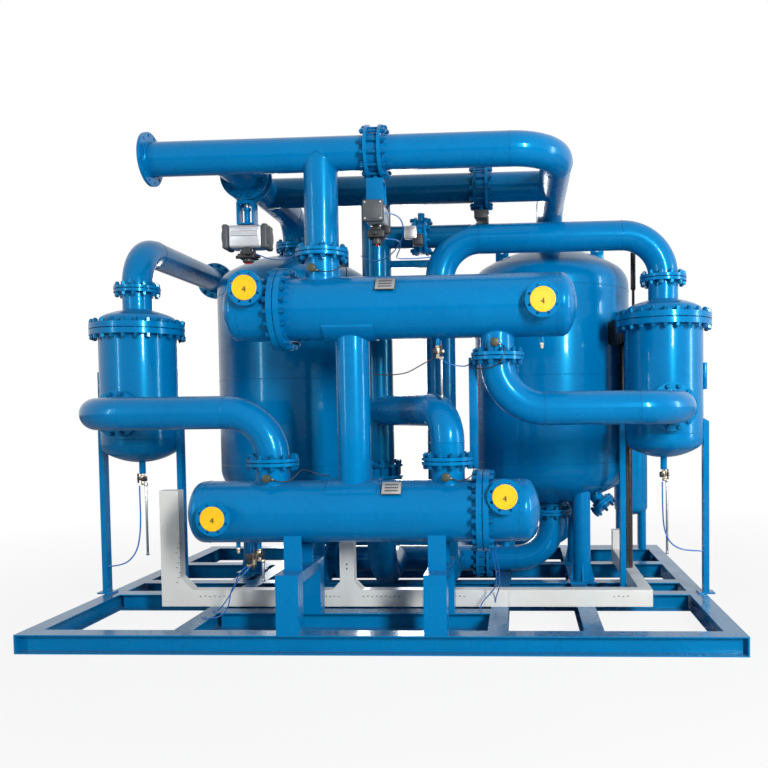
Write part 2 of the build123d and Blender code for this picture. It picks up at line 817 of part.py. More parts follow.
rear_corners = (
    (-separator_x, rear_y, outlet_run_z),
    (left_tank_x, rear_y, outlet_run_z),
    (left_tank_x, rear_y, manifold_z),
    (filter_bend_x, rear_y, manifold_z),
)
filter_line_joint = (filter_bend_x, rear_y, filter_line_joint_z)
spool(
    "rear_riser_spool",
    (
        ((left_outlet_joint, *rear_corners, filter_line_joint), (elbow_radius,) * len(rear_corners)),
        (((drop_x, rear_y, manifold_z), manifold_back), ()),
    ),
    ((left_outlet_joint, FRONT), (filter_line_joint, UP), (manifold_back, FRONT)),
)

for name, nozzle_x, nozzle_z, direction, side in (
    ("left_separator_inlet", lower_left_nozzle_x, lower_joint_z, DOWN, -1),
    ("right_separator_inlet", upper_low_nozzle_x, upper_low_joint_z, UP, 1),
):
    start = (nozzle_x, exchanger_y, nozzle_z)
    end = (side * separator_x, separator_front_joint_y, inlet_run_z)
    first_corner = (nozzle_x, exchanger_y, inlet_run_z)
    second_corner = (side * separator_x, exchanger_y, inlet_run_z)
    bends = (elbow_radius, elbow_radius)
    spool(name, (((start, first_corner, second_corner, end), bends),), ((start, direction), (end, BACK)))

filter_inlet = (filter_x - filter_od / 2 - filter_nozzle_reach, rear_y, filter_inlet_z)
filter_line_corner = (filter_bend_x, rear_y, filter_inlet_z)
spool(
    "filter_line_spool",
    (((filter_line_joint, filter_line_corner, filter_inlet), (short_elbow_radius,)),),
    ((filter_line_joint, DOWN), (filter_inlet, RIGHT)),
)

with BuildPart() as after_filter:
    centre = (filter_x, rear_y)
    filter_head = filter_od / 4
    low, length = filter_low_tangent_z, filter_high_tangent_z - filter_low_tangent_z
    filter_outlet = (filter_x + filter_od / 2 + filter_nozzle_reach, rear_y, filter_outlet_z)
    vessel_solid((*centre, low), UP, filter_od / 2, length, filter_head, filter_head)
    rod((filter_x, rear_y, filter_inlet_z), LEFT, pipe_r, filter_x - filter_inlet[0])
    rod((filter_x, rear_y, filter_outlet_z), RIGHT, pipe_r, filter_outlet[0] - filter_x)
    pipe_flange(filter_inlet, LEFT)
    pipe_flange(filter_outlet, RIGHT)
    with Locations((*centre, beam_height)):
        with GridLocations(filter_leg_spacing, filter_leg_depth, 2, 2):
            Cylinder(filter_leg_od / 2, low - beam_height, align=(Align.CENTER, Align.CENTER, Align.MIN))
    inner_r = filter_od / 2 - filter_wall
    inner_head = filter_head - filter_wall
    vessel_solid((*centre, low), UP, inner_r, length, inner_head, inner_head, Mode.SUBTRACT)
    rod((filter_x, rear_y, filter_inlet_z), LEFT, pipe_bore_r, filter_x - filter_inlet[0], Mode.SUBTRACT)
    rod((filter_x, rear_y, filter_outlet_z), RIGHT, pipe_bore_r, filter_outlet[0] - filter_x, Mode.SUBTRACT)
save(after_filter.part, "after_filter")


# Butterfly valves: a wafer body, a disc on its stem and an actuator


def stem_block(plane, low, high, along, across, mode=Mode.ADD):
    """A block between two heights above the pipe centre, square to the stem."""
    with BuildSketch(plane.offset(low)) as section:
        Rectangle(along, across)
    extrude(section.sketch, amount=high - low, mode=mode)


def valve(name, centre, along, stem, bracket, actuator, switch_box=None, own_node=True):
    """A valve: bracket is its length, actuator and switch box are (along, across, height)."""
    plane = Plane(origin=centre, x_dir=along, z_dir=stem)
    start = Vector(*centre) - Vector(*along) * valve_half
    foot = Vector(*centre) - Vector(*stem) * (valve_bore_r + stem_foot)
    stem_end = neck_length + bracket + stem_entry
    hole = stem_radius + stem_clearance

    def actuator_solids():
        base = neck_length + bracket
        if bracket:
            for side in (-1, 1):
                offset = side * (mount_width - bracket_plate) / 2
                with BuildSketch(plane.offset(neck_length)) as cheek:
                    with Locations((offset, 0)):
                        Rectangle(bracket_plate, mount_width)
                extrude(cheek.sketch, amount=bracket)
            stem_block(plane, neck_length, neck_length + bracket_plate, mount_width, mount_width)
            stem_block(plane, base - bracket_plate, base, mount_width, mount_width)
        stem_block(plane, base, base + actuator[2], actuator[0], actuator[1])
        if switch_box:
            top = base + actuator[2]
            stem_block(plane, top, top + switch_box[2], switch_box[0], switch_box[1])
        neck_end = Vector(*centre) + Vector(*stem) * neck_length
        rod(neck_end, stem, hole, bracket + stem_entry + stem_end_gap, Mode.SUBTRACT)

    with BuildPart() as body:
        rod(start, along, valve_body_od / 2, valve_width)
        with BuildSketch(plane.offset(valve_bore_r)):
            Circle(neck_radius)
        extrude(amount=neck_length - valve_bore_r)
        stem_block(plane, neck_length - mount_plate, neck_length, mount_width, mount_width)
        if not own_node:
            actuator_solids()
        rod(start, along, valve_bore_r, valve_width, Mode.SUBTRACT)
        rod(foot, stem, hole, valve_bore_r + stem_foot + neck_length, Mode.SUBTRACT)
    save(body.part, f"{name}_body")

    with BuildPart() as disc:
        disc_start = Vector(*centre) - Vector(*along) * (disc_thickness / 2)
        rod(disc_start, along, valve_bore_r - disc_clearance, disc_thickness)
        rod(foot, stem, stem_radius, valve_bore_r + stem_foot + stem_end)
    save(disc.part, f"{name}_disc")

    if own_node:
        with BuildPart() as drive:
            actuator_solids()
        save(drive.part, f"{name}_actuator")


header_valve_centre = (header_valve_x, exchanger_y, header_z)
left_leg_valve_centre = (left_tank_x, left_leg_valve_y, header_z)
rear_valve_centre = (rear_valve_x, service_y, header_z)
riser_valve_centre = (riser_x, service_y, riser_valve_z)
valve("header_valve", header_valve_centre, RIGHT, DOWN, header_bracket, header_actuator, header_switch_box)
valve(
    "left_leg_valve",
    left_leg_valve_centre,
    BACK,
    DOWN,
    left_leg_bracket,
    left_leg_actuator,
    left_leg_switch_box,
)
valve("rear_header_valve", rear_valve_centre, RIGHT, DOWN, 0, rear_header_actuator)
valve("riser_valve", riser_valve_centre, UP, BACK, 0, riser_actuator, own_node=False)
for name, valve_x in (
    ("manifold_valve_left", manifold_left_valve_x),
    ("manifold_valve_right", manifold_right_valve_x),
):
    valve(name, (valve_x, tank_y, manifold_z), RIGHT, UP, 0, manifold_actuator, own_node=False)


# Cable trunking with its uprights, and the black conduit beside the right-hand tank

with BuildPart() as cable_tray:
    half = tray_depth / 2
    floor = beam_height
    top = floor + tray_height
    plate_box((tray_left_x, tray_y - half, floor), (tray_right_x, tray_y + half, top))
    left_end = tray_left_x + tray_left_width
    plate_box((tray_left_x, tray_y - half, floor), (left_end, tray_y + half, tray_left_top_z))
    branch_low = tray_branch_x - tray_branch_width / 2
    branch_high = tray_branch_x + tray_branch_width / 2
    plate_box((branch_low, tray_y - half, floor), (branch_high, tray_y + half, tray_branch_top_z))
    with BuildSketch(upright_plane((0, tray_y + half, 0))):
        Polygon((left_end, top), (left_end + tray_corner, top), (left_end, top + tray_corner), align=None)
        Polygon(
            (branch_low - tray_branch_flare, top),
            (branch_high + tray_branch_flare, top),
            (branch_high, top + tray_branch_flare),
            (branch_low, top + tray_branch_flare),
            align=None,
        )
    extrude(amount=tray_depth)
    plate_box((tray_right_x - tray_depth, tray_y, floor), (tray_right_x, tray_back_y, top))
    back_low = (tray_right_x - tray_depth, tray_back_y - tray_depth, floor)
    plate_box(back_low, (tray_right_x, tray_back_y, tray_back_top_z))
save(cable_tray.part, "cable_tray")

with BuildPart() as vertical_conduit:
    conduit_foot_z = beam_height + tray_height
    rod((conduit_x, conduit_y, conduit_foot_z), UP, conduit_od / 2, conduit_top_z - conduit_foot_z)
save(vertical_conduit.part, "vertical_conduit")


# Drain hoses: straight runs joined by arcs as wide as the runs allow


def hose(name, points):
    radii = []
    for before, corner, after in zip(points, points[1:], points[2:]):
        arriving = Vector(*corner) - Vector(*before)
        leaving = Vector(*after) - Vector(*corner)
        turn = radians(arriving.get_angle(leaving))
        radii.append(hose_arc_share * min(arriving.length, leaving.length) / tan(turn / 2))
    with BuildPart() as cord:
        swept(points, hose_od / 2, radii)
    save(cord.part, name)
    print(name, "arc radii", [round(radius, 1) for radius in radii])


hose_y = service_y - hose_offset
valve_foot_z = separator_low_tangent_z - separator_low_head - drain_stub - drain_valve_height
hose(
    "left_drain_hose",
    (
        (-2020.0, hose_y, valve_foot_z),
        (-2020.0, hose_y, 850.0),
        (-2018.0, hose_y, 720.0),
        (-2026.0, hose_y, 590.0),
        (-2050.0, hose_y, 470.0),
        (-2112.0, hose_y, 382.0),
        (-2200.0, hose_y, 344.0),
        (-2292.5, hose_y, 338.0),
    ),
)
hose(
    "right_drain_hose",
    (
        (1990.0, hose_y, valve_foot_z),
        (1990.0, hose_y, 860.0),
        (1992.0, hose_y, 740.0),
        (2000.0, hose_y, 620.0),
        (2035.0, hose_y, 520.0),
        (2105.0, hose_y, 464.0),
        (2195.0, hose_y, 448.0),
        (2292.5, hose_y, 446.0),
    ),
)
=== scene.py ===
from math import cos, pi, radians, sin, sqrt, tan

import bmesh
import bpy
from mathutils import Matrix, Vector


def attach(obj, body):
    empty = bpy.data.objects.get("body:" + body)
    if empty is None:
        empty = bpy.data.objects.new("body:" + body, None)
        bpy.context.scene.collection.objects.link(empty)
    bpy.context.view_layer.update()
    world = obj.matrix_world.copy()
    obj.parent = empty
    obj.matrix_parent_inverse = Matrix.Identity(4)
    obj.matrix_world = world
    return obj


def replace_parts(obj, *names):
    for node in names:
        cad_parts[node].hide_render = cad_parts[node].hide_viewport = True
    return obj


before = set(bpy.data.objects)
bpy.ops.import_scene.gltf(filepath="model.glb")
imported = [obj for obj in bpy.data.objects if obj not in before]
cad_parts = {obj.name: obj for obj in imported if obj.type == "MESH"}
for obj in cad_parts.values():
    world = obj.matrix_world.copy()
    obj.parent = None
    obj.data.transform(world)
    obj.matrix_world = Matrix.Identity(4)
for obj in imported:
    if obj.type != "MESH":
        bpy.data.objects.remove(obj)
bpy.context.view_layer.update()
bpy.ops.object.select_all(action="DESELECT")

# Camera: a normal lens at chest height in front of the skid, a little right of its middle.
# The picture's frame is shifted, as the photograph is cropped from a wider one.
camera_place = Vector((0.9345, -6.5396, 1.519))
camera_yaw = radians(3.191)
camera_pitch = radians(2.214)
camera_roll = radians(0.74)
sight = Vector((
    -sin(camera_yaw) * cos(camera_pitch), cos(camera_yaw) * cos(camera_pitch), -sin(camera_pitch)
))
level = Vector((cos(camera_yaw), sin(camera_yaw), 0))
upright = level.cross(sight)
across = level * cos(camera_roll) - upright * sin(camera_roll)
upward = level * sin(camera_roll) + upright * cos(camera_roll)
camera = bpy.data.objects.new("camera", bpy.data.cameras.new("camera"))
bpy.context.collection.objects.link(camera)
view_turn = Matrix((across, upward, -sight)).transposed().to_4x4()
camera.matrix_world = Matrix.Translation(camera_place) @ view_turn
camera.data.sensor_width = 36.0
camera.data.lens = 37.5
camera.data.shift_x = -0.1198
camera.data.shift_y = 0.0745
bpy.context.scene.camera = camera

# Studio: a pale floor, a white surround and large soft lamps.
# The main lamp stands low at the front right, as the shadows on the tanks show.
# A weaker one behind keeps the back of the tanks readable.


def set_values(node, values):
    """Gives a node's sockets their values."""
    for socket, value in values.items():
        node.inputs[socket].default_value = value
    return node


def add_node(tree, kind, values=(), **settings):
    """Adds a node with its settings, and gives its sockets their values."""
    node = tree.nodes.new("ShaderNode" + kind)
    for setting, value in settings.items():
        setattr(node, setting, value)
    return set_values(node, dict(values))


def wire(tree, *links):
    """Links sockets, each pair given as node, output, node, input."""
    for source, output, target, entry in links:
        tree.links.new(source.outputs[output], target.inputs[entry])


def new_finish(name, values):
    """A material with its node tree, its main shader and the place on the object that it varies with."""
    finish = bpy.data.materials.new(name)
    finish.use_nodes = True
    tree = finish.node_tree
    shader = set_values(tree.nodes["Principled BSDF"], values)
    return finish, tree, shader, (add_node(tree, "TexCoord"), "Object")


bpy.context.scene.view_settings.view_transform = "Standard"
surround = bpy.data.worlds.new("white_surround")
bpy.context.scene.world = surround
surround.use_nodes = True
sky = surround.node_tree
soft_sky = set_values(sky.nodes["Background"], {"Color": (0.92, 0.95, 1.0, 1), "Strength": 0.19})
white_sky = add_node(sky, "Background", {"Color": (1, 1, 1, 1), "Strength": 1.0})
rays = add_node(sky, "LightPath")
either = add_node(sky, "Math", operation="MAXIMUM")
either_too = add_node(sky, "Math", operation="MAXIMUM")
chooser = add_node(sky, "MixShader")
wire(
    sky,
    (rays, "Is Camera Ray", either, 0), (rays, "Is Glossy Ray", either, 1), (either, 0, either_too, 0),
    (rays, "Is Transmission Ray", either_too, 1), (either_too, 0, chooser, 0), (soft_sky, 0, chooser, 1),
    (white_sky, 0, chooser, 2), (chooser, 0, sky.nodes["World Output"], "Surface"),
)

bpy.ops.mesh.primitive_plane_add(size=80)
floor = bpy.context.object
floor.name = "studio_floor"
floor_paint, ground, floor_shader, floor_spot = new_finish(
    "pale_floor", {"Base Color": (0.52, 0.52, 0.52, 1), "Roughness": 0.9}
)
glow = add_node(ground, "Emission")
rays = add_node(ground, "LightPath")
floor_reach = add_node(ground, "VectorMath", operation="LENGTH")
white_share = add_node(ground, "MapRange", {"From Min": 3.0, "From Max": 7.0, "To Min": 0.88, "To Max": 1.0})
camera_share = add_node(ground, "Math", operation="MULTIPLY")
blend = add_node(ground, "MixShader")
wire(
    ground,
    (*floor_spot, floor_reach, 0), (floor_reach, "Value", white_share, "Value"),
    (rays, "Is Camera Ray", camera_share, 0), (white_share, 0, camera_share, 1),
    (camera_share, 0, blend, 0), (floor_shader, 0, blend, 1), (glow, 0, blend, 2),
    (blend, 0, ground.nodes["Material Output"], "Surface"),
)
floor.data.materials.append(floor_paint)

for lamp_name, place, aim, size, power in (
    ("main_lamp", (4.6, -9.2, 3.9), (0, 0, 1.5), (0.9, 2.6), 900),
    ("side_lamp", (9.5, -2.5, 3.0), (0, -0.5, 1.5), (0.8, 4.0), 300),
    ("left_lamp", (-6.5, -7.0, 3.2), (0, -0.5, 1.5), (0.5, 4.0), 150),
    ("back_lamp", (-2.5, 9.5, 2.6), (0, 0, 1.2), (3.0, 3.0), 320),
):
    lamp = bpy.data.objects.new(lamp_name, bpy.data.lights.new(lamp_name, "AREA"))
    bpy.context.collection.objects.link(lamp)
    lamp.data.shape = "RECTANGLE"
    lamp.data.size, lamp.data.size_y = size
    lamp.data.energy = power
    lamp.location = place
    lamp.rotation_euler = (Vector(aim) - Vector(place)).to_track_quat("-Z", "Y").to_euler()

# Drain hoses: blue nylon tube of 11 mm from each separator's drain valve to a clip on its outer post.
# They hang under their own weight, so each is one smooth curve.


def mottled(tree, place, scale, tones, target, entry, detail=2):
    """Varies the colour of a socket between two tones, and gives back the noise that does it."""
    grain = add_node(tree, "TexNoise", {"Scale": scale, "Detail": detail})
    tone = add_node(tree, "Mix", {"A": (*tones[0], 1), "B": (*tones[1], 1)}, data_type="RGBA")
    wire(tree, (*place, grain, "Vector"), (grain, "Fac", tone, "Factor"), (tone, "Result", target, entry))
    return grain


def bar_along(name, kind, points, radius, roundness):
    """A round bar along a curve of the given kind that is led by the points."""
    curve = bpy.data.curves.new(name, "CURVE")
    curve.dimensions = "3D"
    curve.bevel_depth = radius
    curve.bevel_resolution = roundness
    line = curve.splines.new(kind)
    line.points.add(len(points) - 1)
    for point, place in zip(line.points, points):
        point.co = (*place, 1)
    bar = bpy.data.objects.new(name, curve)
    bpy.context.collection.objects.link(bar)
    return bar


def free_cord(name, points, diameter, material):
    """A tube or cable that leaves the object at its first point and ends on it at its last."""
    cord = bar_along(name, "NURBS", points, diameter / 2, 4)
    cord.data.resolution_u = 10
    cord.data.use_fill_caps = True
    cord.data.splines[0].order_u = 3
    cord.data.splines[0].use_endpoint_u = True
    cord.data.materials.append(material)
    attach(cord, "dryer")
    return cord


hose_plastic, hose_tree, hose_shader, hose_place = new_finish(
    "blue_nylon_tube", {"Roughness": 0.28, "Coat Weight": 0.3}
)
hose_tones = ((0.002, 0.09, 0.36), (0.006, 0.18, 0.58))
mottled(hose_tree, hose_place, 14, hose_tones, hose_shader, "Base Color")
hose_diameter = 0.011
hose_y = -0.506
for name, length, route in (
    ("left_drain_hose", 0.791, (
        (-2.02, 0.968), (-2.02, 0.85), (-2.018, 0.72), (-2.026, 0.59),
        (-2.05, 0.47), (-2.112, 0.382), (-2.2, 0.344), (-2.2925, 0.338),
    )),
    ("right_drain_hose", 0.727, (
        (1.99, 0.968), (1.99, 0.86), (1.992, 0.74), (2.0, 0.62),
        (2.035, 0.52), (2.105, 0.464), (2.195, 0.448), (2.2925, 0.446),
    )),
):
    points = [(x, hose_y, z) for x, z in route]
    hose = free_cord(name + "_tube", points, hose_diameter, hose_plastic)
    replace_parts(hose, name)

# Skid: hot-rolled H-beams, welded and sprayed with the same gloss enamel as the vessels.
# Rolled steel keeps a slight waviness, and dust lies on what faces up.


def enamel(name, shade, light, dust, peel):
    """Gloss enamel over steel: mottled between two tones, with orange peel and dust on top faces."""
    paint, tree, shader, place = new_finish(name, {
        "Coat Weight": 0.16, "Coat Roughness": 0.05,
        "Specular IOR Level": 0.5, "Specular Tint": (0.02, 0.6, 1.0, 1),
    })
    geometry = add_node(tree, "NewGeometry")
    heights = add_node(tree, "SeparateXYZ")
    top_share = add_node(tree, "MapRange", {"From Min": 0.75, "From Max": 1.0, "To Max": dust})
    specks = add_node(tree, "TexNoise", {"Scale": 38, "Detail": 6})
    dust_share = add_node(tree, "Math", operation="MULTIPLY")
    dusty = add_node(tree, "Mix", {"B": (0.1, 0.13, 0.16, 1)}, data_type="RGBA")
    mottled(tree, place, 2.6, (shade, light), dusty, "A", 5)
    wipes = add_node(tree, "TexNoise", {"Scale": 7, "Detail": 4})
    gloss = add_node(tree, "MapRange", {"To Min": 0.18, "To Max": 0.36})
    peel_grain = add_node(tree, "TexNoise", {"Scale": 130})
    relief = add_node(tree, "Bump", {"Strength": peel, "Distance": 0.002})
    wire(
        tree,
        (geometry, "Normal", heights, 0), (heights, "Z", top_share, "Value"),
        (top_share, 0, dust_share, 0), (*place, specks, "Vector"), (specks, "Fac", dust_share, 1),
        (dust_share, 0, dusty, "Factor"), (dusty, "Result", shader, "Base Color"),
        (*place, wipes, "Vector"), (wipes, "Fac", gloss, "Value"), (gloss, 0, shader, "Roughness"),
        (*place, peel_grain, "Vector"), (peel_grain, "Fac", relief, "Height"), (relief, 0, shader, "Normal"),
    )
    return paint


def paint_nodes(material, *names):
    """Gives carried-over parts of the frame their finish."""
    for name in names:
        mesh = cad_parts[name].data
        mesh.materials.clear()
        mesh.materials.append(material)


skid_paint = enamel("skid_enamel", (0.0, 0.135, 0.33), (0.0, 0.185, 0.43), 0.7, 0.1)
paint_nodes(
    skid_paint,
    "skid_front_beam", "skid_rear_beam", "skid_left_beam", "skid_right_beam",
    "skid_stringers", "skid_middle_rails", "skid_rear_rails",
)

# Tanks, coolers and separators: rolled steel shells with dished ends and welded nozzles.
# The seams are ground nearly flush before the enamel goes on.
vessel_paint = enamel("vessel_enamel", (0.0, 0.135, 0.35), (0.0, 0.18, 0.44), 0.4, 0.05)
paint_nodes(
    vessel_paint,
    "left_tank", "right_tank", "upper_cooler_shell", "upper_cooler_bonnet", "lower_cooler_shell",
    "lower_cooler_bonnet", "link_pipe", "cooler_saddles", "left_separator", "left_separator_head",
    "right_separator", "right_separator_head", "separator_posts", "after_filter",
)
weld_paint = enamel("weld_enamel", (0.0, 0.12, 0.31), (0.0, 0.16, 0.4), 0.4, 0.5)


def only(piece):
    """Selects one piece and nothing else."""
    bpy.ops.object.select_all(action="DESELECT")
    piece.select_set(True)
    bpy.context.view_layer.objects.active = piece


def joined(pieces, name):
    """Several pieces as one, standing at the origin."""
    only(pieces[0])
    for piece in pieces:
        piece.select_set(True)
    if len(pieces) > 1:
        bpy.ops.object.join()
    whole = bpy.context.view_layer.objects.active
    bpy.ops.object.transform_apply(location=True, rotation=True, scale=True)
    whole.name = name
    whole.data.name = name
    return whole


def finished(pieces, name, material, smooth=40, body="dryer"):
    """Joins the pieces, smooths them, and gives them their finish and their body."""
    whole = joined(pieces, name)
    bpy.ops.object.shade_smooth_by_angle(angle=radians(smooth))
    whole.data.materials.clear()
    whole.data.materials.append(material)
    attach(whole, body)
    return whole


def facing(place, axis):
    """The place of a piece that is modelled upright and then looks along axis."""
    return Matrix.Translation(place) @ Vector(axis).to_track_quat("Z", "Y").to_matrix().to_4x4()


def bead(place, axis, radius, size=0.004):
    """One round weld bead."""
    bpy.ops.mesh.primitive_torus_add(
        major_radius=radius, minor_radius=size, major_segments=56, minor_segments=6
    )
    ring = bpy.context.object
    ring.matrix_world = facing(place, axis)
    return ring


pipe_radius = 0.1095
tank_radius = 0.658
cooler_radius = 0.203
separator_radius = 0.288
filter_radius = 0.162
left_tank_x = -0.979
right_tank_x = 1.195
tank_y = 0.32
cooler_y = -1.36
upper_cooler_z = 2.19
lower_cooler_z = 0.87
separator_x = 2.005
separator_y = -0.48
filter_x = 2.021
rear_y = 1.459
right = (1, 0, 0)
back = (0, 1, 0)
up = (0, 0, 1)
fine_bead = 0.0024
neck_bead = 0.006
seams = []
for x in (left_tank_x, right_tank_x):
    for z in (1.091, 1.79, 2.49):
        seams.append(bead((x, tank_y, z), up, tank_radius, 0.0028))
    for z in (2.856, 0.725):
        seams.append(bead((x, tank_y, z), up, pipe_radius, neck_bead))
for z, ends in ((upper_cooler_z, (1.172, -0.854)), (lower_cooler_z, (-1.118, 0.923))):
    for x in ends:
        seams.append(bead((x, cooler_y, z), right, cooler_radius, fine_bead))
for x in (-separator_x, separator_x):
    seams.append(bead((x, separator_y, 1.334), up, separator_radius, fine_bead))
    seams.append(bead((x, separator_y, 2.317), up, pipe_radius, neck_bead))
    seams.append(bead((x, separator_y, 2.122), up, separator_radius, neck_bead))
for z in (0.545, 1.9):
    seams.append(bead((filter_x, rear_y, z), up, filter_radius, fine_bead))
finished(seams, "vessel_seams", weld_paint)

# Nozzle welds: a fillet bead follows the line where a smaller pipe meets a shell or a bigger pipe.
# Each is a closed curve worked out from the two radii, swept as a thin round bead.
branch_radius = 0.1091
water_pipe_radius = 0.054
header_z = 3.185
manifold_z = 0.245
inlet_z = 1.526
riser_x = -0.139
outlet_x = 0.339
left = (-1, 0, 0)
front = (0, -1, 0)
down = (0, 0, -1)


def branch_bead(place, run, branch, run_radius, radius, offset):
    """A closed bead round a branch that leaves a run at place, offset to the side of the run's axis."""
    run = Vector(run)
    branch = Vector(branch)
    side = run.cross(branch)
    steps = 56
    points = []
    for step in range(steps):
        turn = 2 * pi * step / steps
        aside = offset + radius * sin(turn)
        reach = sqrt(max(run_radius**2 - aside**2, 0))
        points.append(Vector(place) + run * radius * cos(turn) + side * aside + branch * reach)
    ring = bar_along("nozzle_bead", "POLY", points, 0.005, 1)
    ring.data.splines[0].use_cyclic_u = True
    only(ring)
    bpy.ops.object.convert(target="MESH")
    return bpy.context.object


beads = []
for run_radius, radius, welds in (
    (pipe_radius, branch_radius, (
        ((-0.34, cooler_y, header_z), right, down, 0),
        ((left_tank_x, cooler_y, header_z), right, back, 0),
        ((right_tank_x, separator_y, header_z), back, left, 0),
        ((left_tank_x, separator_y, header_z), back, right, 0),
        ((riser_x, separator_y, header_z), right, down, 0),
        ((riser_x, separator_y, inlet_z), up, (0.5634, -0.8262, 0), 0),
        ((riser_x, tank_y, manifold_z), right, front, 0),
        ((outlet_x, tank_y, manifold_z), right, front, 0),
        ((outlet_x, tank_y, manifold_z), right, back, 0),
        ((outlet_x, rear_y, manifold_z), right, front, 0),
    )),
    (cooler_radius, pipe_radius, (
        ((-0.34, cooler_y, upper_cooler_z), right, up, 0),
        ((0.791, cooler_y, upper_cooler_z), right, down, 0),
        ((-0.696, cooler_y, lower_cooler_z), right, up, 0),
        ((0.461, cooler_y, lower_cooler_z), right, up, 0),
    )),
    (separator_radius, pipe_radius, (
        ((-separator_x, separator_y, inlet_z), up, front, 0),
        ((separator_x, separator_y, inlet_z), up, front, 0),
    )),
    (cooler_radius, water_pipe_radius, (
        ((-0.763, cooler_y, upper_cooler_z), right, front, -0.106),
        ((1.079, cooler_y, upper_cooler_z), right, front, 0.002),
        ((-1.002, cooler_y, lower_cooler_z), right, front, 0.011),
        ((0.835, cooler_y, lower_cooler_z), right, front, -0.115),
    )),
    (filter_radius, pipe_radius, (
        ((filter_x, rear_y, 0.9), up, left, 0),
        ((filter_x, rear_y, 1.64), up, right, 0),
    )),
):
    for place, run, branch, offset in welds:
        beads.append(branch_bead(place, run, branch, run_radius, radius, offset))
finished(beads, "nozzle_weld_beads", weld_paint)

# Pipe spools: steel pipe with butt-welded elbows, whose beads show as fine rings through the enamel.
# The rear header and the bypass take a darker copy of the same blue enamel, whose deeper blue is painted
# shade, as they lie in shade behind the front pipes.
pipe_paint = enamel("pipe_enamel", (0.0, 0.13, 0.34), (0.0, 0.175, 0.43), 0.4, 0.06)
paint_nodes(
    pipe_paint,
    "header_left_spool", "header_right_spool", "left_leg_spool", "crossover_spool",
    "manifold_spool", "manifold_elbow_left", "manifold_elbow_right", "right_separator_outlet",
    "left_separator_outlet", "rear_riser_spool", "left_separator_inlet", "right_separator_inlet",
    "filter_line_spool",
)
# A darker copy of the pipe enamel: its deeper blue is painted shade on the rear header and the bypass.
painted_shade_pipe_paint = enamel("painted_shade_pipe_enamel", (0.0, 0.055, 0.15), (0.0, 0.08, 0.2), 0.4, 0.06)
paint_nodes(painted_shade_pipe_paint, "rear_header_spool")
long_bend = 0.305
short_bend = 0.21
outlet_z = 2.805
filter_line_x = 1.43
pipe_routes = (
    (
        (long_bend, short_bend), (0.052, cooler_y, header_z), (right_tank_x, cooler_y, header_z),
        (right_tank_x, tank_y, header_z), (right_tank_x, tank_y, 2.935),
    ),
    (
        (short_bend,), (left_tank_x, -0.89, header_z), (left_tank_x, tank_y, header_z),
        (left_tank_x, tank_y, 2.935),
    ),
    (
        (short_bend,), (riser_x, separator_y, inlet_z), (0.461, cooler_y, inlet_z),
        (0.461, cooler_y, 1.196),
    ),
    (
        (long_bend,), (riser_x, separator_y, 1.038), (riser_x, separator_y, manifold_z),
        (riser_x, tank_y, manifold_z),
    ),
    (
        (long_bend,), (outlet_x, separator_y, 0.9), (outlet_x, separator_y, manifold_z),
        (outlet_x, 0.9, manifold_z),
    ),
    (
        (short_bend,), (-0.722, tank_y, manifold_z), (left_tank_x, tank_y, manifold_z),
        (left_tank_x, tank_y, 0.65),
    ),
    (
        (long_bend,), (0.633, tank_y, manifold_z), (right_tank_x, tank_y, manifold_z),
        (right_tank_x, tank_y, 0.65),
    ),
    (
        (long_bend,) * 2, (separator_x, separator_y, 2.476), (separator_x, separator_y, outlet_z),
        (outlet_x, separator_y, outlet_z), (outlet_x, separator_y, 0.9),
    ),
    (
        (long_bend,), (-separator_x, separator_y, 2.476), (-separator_x, separator_y, outlet_z),
        (-separator_x, 1.13, outlet_z),
    ),
    (
        (long_bend,) * 4, (-separator_x, 1.13, outlet_z), (-separator_x, rear_y, outlet_z),
        (left_tank_x, rear_y, outlet_z), (left_tank_x, rear_y, manifold_z),
        (filter_line_x, rear_y, manifold_z), (filter_line_x, rear_y, 0.62),
    ),
    (
        (long_bend,) * 2, (-0.696, cooler_y, 1.196), (-0.696, cooler_y, inlet_z),
        (-separator_x, cooler_y, inlet_z), (-separator_x, -0.842, inlet_z),
    ),
    (
        (long_bend,) * 2, (0.791, cooler_y, 1.864), (0.791, cooler_y, inlet_z),
        (separator_x, cooler_y, inlet_z), (separator_x, -0.842, inlet_z),
    ),
    (
        (short_bend,), (filter_line_x, rear_y, 0.62), (filter_line_x, rear_y, 0.9),
        (1.759, rear_y, 0.9),
    ),
)
elbow_beads = []
for bends, *corners in pipe_routes:
    for before, corner, after, bend in zip(corners, corners[1:], corners[2:], bends):
        coming = (Vector(before) - Vector(corner)).normalized()
        going = (Vector(after) - Vector(corner)).normalized()
        reach = bend * tan((pi - coming.angle(going)) / 2)
        for way in (coming, going):
            elbow_beads.append(bead(Vector(corner) + way * reach, way, pipe_radius, 0.0026))
finished(elbow_beads, "elbow_weld_beads", weld_paint)

# Flanged joints: twelve studs with a hexagon nut at each end, and a graphite gasket in between.
# The joints that hold a valve have longer studs, which pass outside its body.
nut_paint = enamel("nut_enamel", (0.0, 0.08, 0.21), (0.0, 0.13, 0.33), 0.3, 0.2)
gasket_graphite, gasket_tree, gasket_shader, gasket_place = new_finish(
    "gasket_graphite", {"Base Color": (0.012, 0.014, 0.017, 1)}
)
gasket_flecks = add_node(gasket_tree, "TexNoise", {"Scale": 90})
gasket_rough = add_node(gasket_tree, "MapRange", {"To Min": 0.45, "To Max": 0.8})
wire(
    gasket_tree,
    (*gasket_place, gasket_flecks, "Vector"), (gasket_flecks, "Fac", gasket_rough, "Value"),
    (gasket_rough, 0, gasket_shader, "Roughness"),
)


